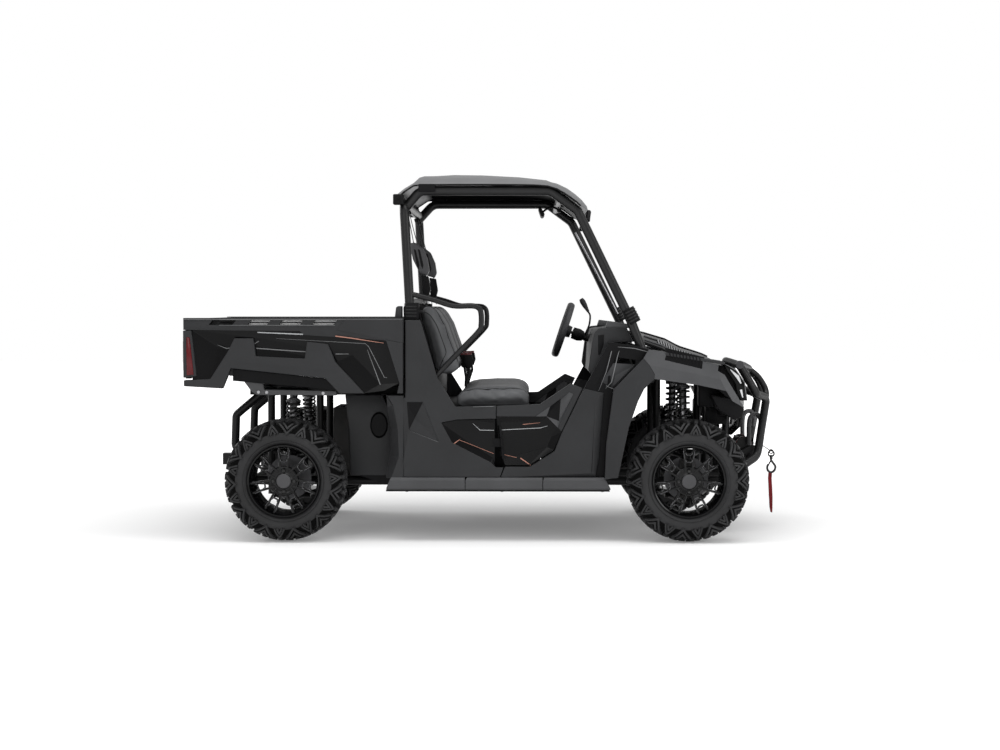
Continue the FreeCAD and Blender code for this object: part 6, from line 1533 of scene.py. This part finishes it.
slatParts, bedParts = [], []
for way in (-1, 1):
    for index in range(hoodMake["slats"]):
        x = hoodMake["first"] + index * hoodMake["pitch"]
        inner, outer = hoodMake["inner"], hoodMake["outer"] - hoodMake["narrow"] * index
        end = x + hoodMake["long"]
        corners = [onHood(a, way * b, hoodMake["lift"])
                   for a, b in ((x, inner), (end, inner), (end, outer), (x, outer))]
        verts = corners + [(a, b, c + hoodMake["height"]) for a, b, c in corners]
        faces = [(0, 1, 2, 3), (4, 5, 6, 7), (0, 1, 5, 4), (1, 2, 6, 5), (2, 3, 7, 6), (3, 0, 4, 7)]
        slatParts.append(outwards(meshOf("hoodSlat", verts, faces)))
    for y, size in ((0.346, 0.0045), (0.446, 0.0055)):
        route = hoodRoute(hoodMake["beadSteps"],
                          lambda x: way * (y - hoodMake["beadFan"] * (x - hoodMake["beadFrom"])))
        bedParts.append(tube("hoodBead", route, size, sides=8))
# the hood slats take the light grey of painted highlights
placed("hoodSlats", slatParts, "paintedHighlightGrey", "hood")
placed("hoodBeads", bedParts, "moldedLight", "hood")
spread, fan, origin = (hoodMake[key] for key in ("ribSpread", "ribFan", "ribFrom"))
dome = [tube("hoodRib", hoodRoute(hoodMake["ribSteps"], lambda x: y * (spread - fan * (x - origin))),
             hoodMake["ribRadius"], sides=8) for y in hoodMake["ribs"]]
placed("hoodRibs", dome, "glossPanel", "hood")
# chrome strips drawn in the shape of the lamp's highlights, partly reflector and partly painted highlight,
# then a light grey line round the lamp rim as painted highlight
stripes("lampReflectorHighlights", "headlights", "chromeTrim",
        [([(1296, 912), (1334, 874), (1352, 838)], [3, 17, 6], 690),
         ([(1352, 806), (1362, 764)], [12, 5], 690)])
stripes("lampRimHighlight", "headlights", "paintedHighlightGrey",
        [([(1268, 941), (1326, 909), (1370, 845), (1383, 752)], [2, 4, 4, 3], 691)])
lensMake = {"y": 0.612, "spots": [((1.3490, 0.8790), (0.824, 0.566)), ((1.3765, 0.7980), (0.990, 0.138))],
            "radius": 0.027, "rim": 0.0325}
lenses, lensRims = [], []
for way in (-1, 1):
    for (x, z), (ahead, up) in lensMake["spots"]:
        spot, facing = (x, way * lensMake["y"], z), (ahead, 0, up)
        inner, outer = lensMake["radius"], lensMake["rim"]
        lenses.append(lathe("lens",
                            [(-0.006, 0.0001), (-0.006, inner), (0.001, inner), (0.0045, inner * 0.6),
                             (0.0055, 0.0001)], spot, facing, segments=32))
        lensRims.append(lathe("lensRim", [(-0.006, inner), (0.0035, inner), (0.005, (inner + outer) / 2),
                                          (0.0035, outer), (-0.006, outer)], spot, facing, segments=32,
                              closed=True))
placed("lampLenses", lenses, "paleBacking", "headlights")
placed("lampLensRims", lensRims, "chromeTrim", "headlights")
cheek = [(1.200, 0.772), (1.330, 0.752), (1.374, 0.704), (1.364, 0.662), (1.322, 0.642), (1.240, 0.694)]
placed("lampCheeks", twoSided([prism("lampCheek", cheek, -0.665, -0.470, width=0.006, segments=2)]),
       "moldedDark", "front_fascia")
boxParts = [cuboid("airBox", (1.148, -0.520, 0.706), (1.250, -0.400, 0.846), width=0.010, segments=2),
            cuboid("coreEdge", (1.262, -0.46, 0.655), (1.300, 0.46, 0.850), width=0.006, segments=2)]
boxParts.append(tube("hose", curved([(1.200, -0.410, 0.720), (1.215, -0.395, 0.690), (1.262, -0.385, 0.672),
                                     (1.275, -0.380, 0.700)], steps=5), radius=0.014, sides=12))
for way in (-1, 1):
    back = [(1.236, 0.936), (1.324, 0.908), (1.368, 0.842), (1.380, 0.752), (1.300, 0.748), (1.240, 0.800)]
    boxParts.append(prism("lampBack", back, way * 0.60 - 0.055, way * 0.60 + 0.055, width=0.004,
                          segments=2))
    boxParts.append(cuboid("coreFoot", (1.196, way * 0.36 - 0.045, 0.604),
                           (1.312, way * 0.36 + 0.045, 0.704), width=0.008, segments=2))
placed("noseInner", boxParts, "moldedDark", "frame_front")
print("nose made")

# Dash cheeks, folded corner pieces and the gear lever on the column
cheekSide = [(0.566, 1.037), (0.577, 1.100), (0.601, 1.128), (0.673, 1.135), (0.752, 1.134), (0.787, 1.056),
             (0.673, 1.050), (0.652, 1.024), (0.604, 0.912), (0.566, 0.876), (0.549, 0.910)]
placed("dashCheeks", twoSided([prism("dashCheek", cheekSide, -0.622, -0.596, width=0.006, segments=3)]),
       "moldedPanel", "dash")
fold = [(0.640, 1.132), (0.652, 1.166), (0.700, 1.160), (0.762, 1.152), (0.766, 1.130), (0.700, 1.126)]
placed("dashFolds", twoSided([prism("dashFold", fold, -0.610, -0.520, width=0.004, segments=2)]),
       "moldedLight", "dash")
vent = [(0.600, 1.092), (0.632, 1.096), (0.630, 1.044), (0.612, 0.990), (0.600, 0.986)]
placed("dashVents", twoSided([prism("dashVent", vent, -0.6245, -0.615, width=0.002, segments=2)]),
       "moldedDark", "dash")
knob = [lathe("leverKnob", [(0, 0.0001), (0.002, 0.012), (0.02, 0.0165), (0.045, 0.015), (0.07, 0.010),
                            (0.088, 0.0075), (0.09, 0.0001)], (0.536, 0.30, 1.291), (0.49, 0, -0.87),
              segments=24)]
knob.append(tube("leverRod", curved([(0.578, 0.300, 1.216), (0.590, 0.302, 1.190), (0.585, 0.312, 1.138),
                                     (0.570, 0.335, 1.100), (0.562, 0.362, 1.080)], steps=5), radius=0.0055,
                 sides=12))
knob.append(tube("leverBoss", [(0.566, 0.352, 1.075), (0.560, 0.372, 1.072)], radius=0.013, sides=16))
placed("gearLever", knob, "gripRubber", "cab_controls")
leverFoot = 0.98
pedals = bmesh.new()
pedals.from_mesh(mergedCopy("cab_controls"))
bmesh.ops.delete(pedals, geom=[v for v in pedals.verts if v.co.z > leverFoot], context="VERTS")
pedalMesh = bpy.data.meshes.new("pedalSet")
pedals.to_mesh(pedalMesh)
pedals.free()
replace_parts(addPiece("pedalSet", roundedMesh(pedalMesh, width=0.002), "gripRubber", bodyOf["cab_controls"]),
            "cab_controls")
print("dash made")
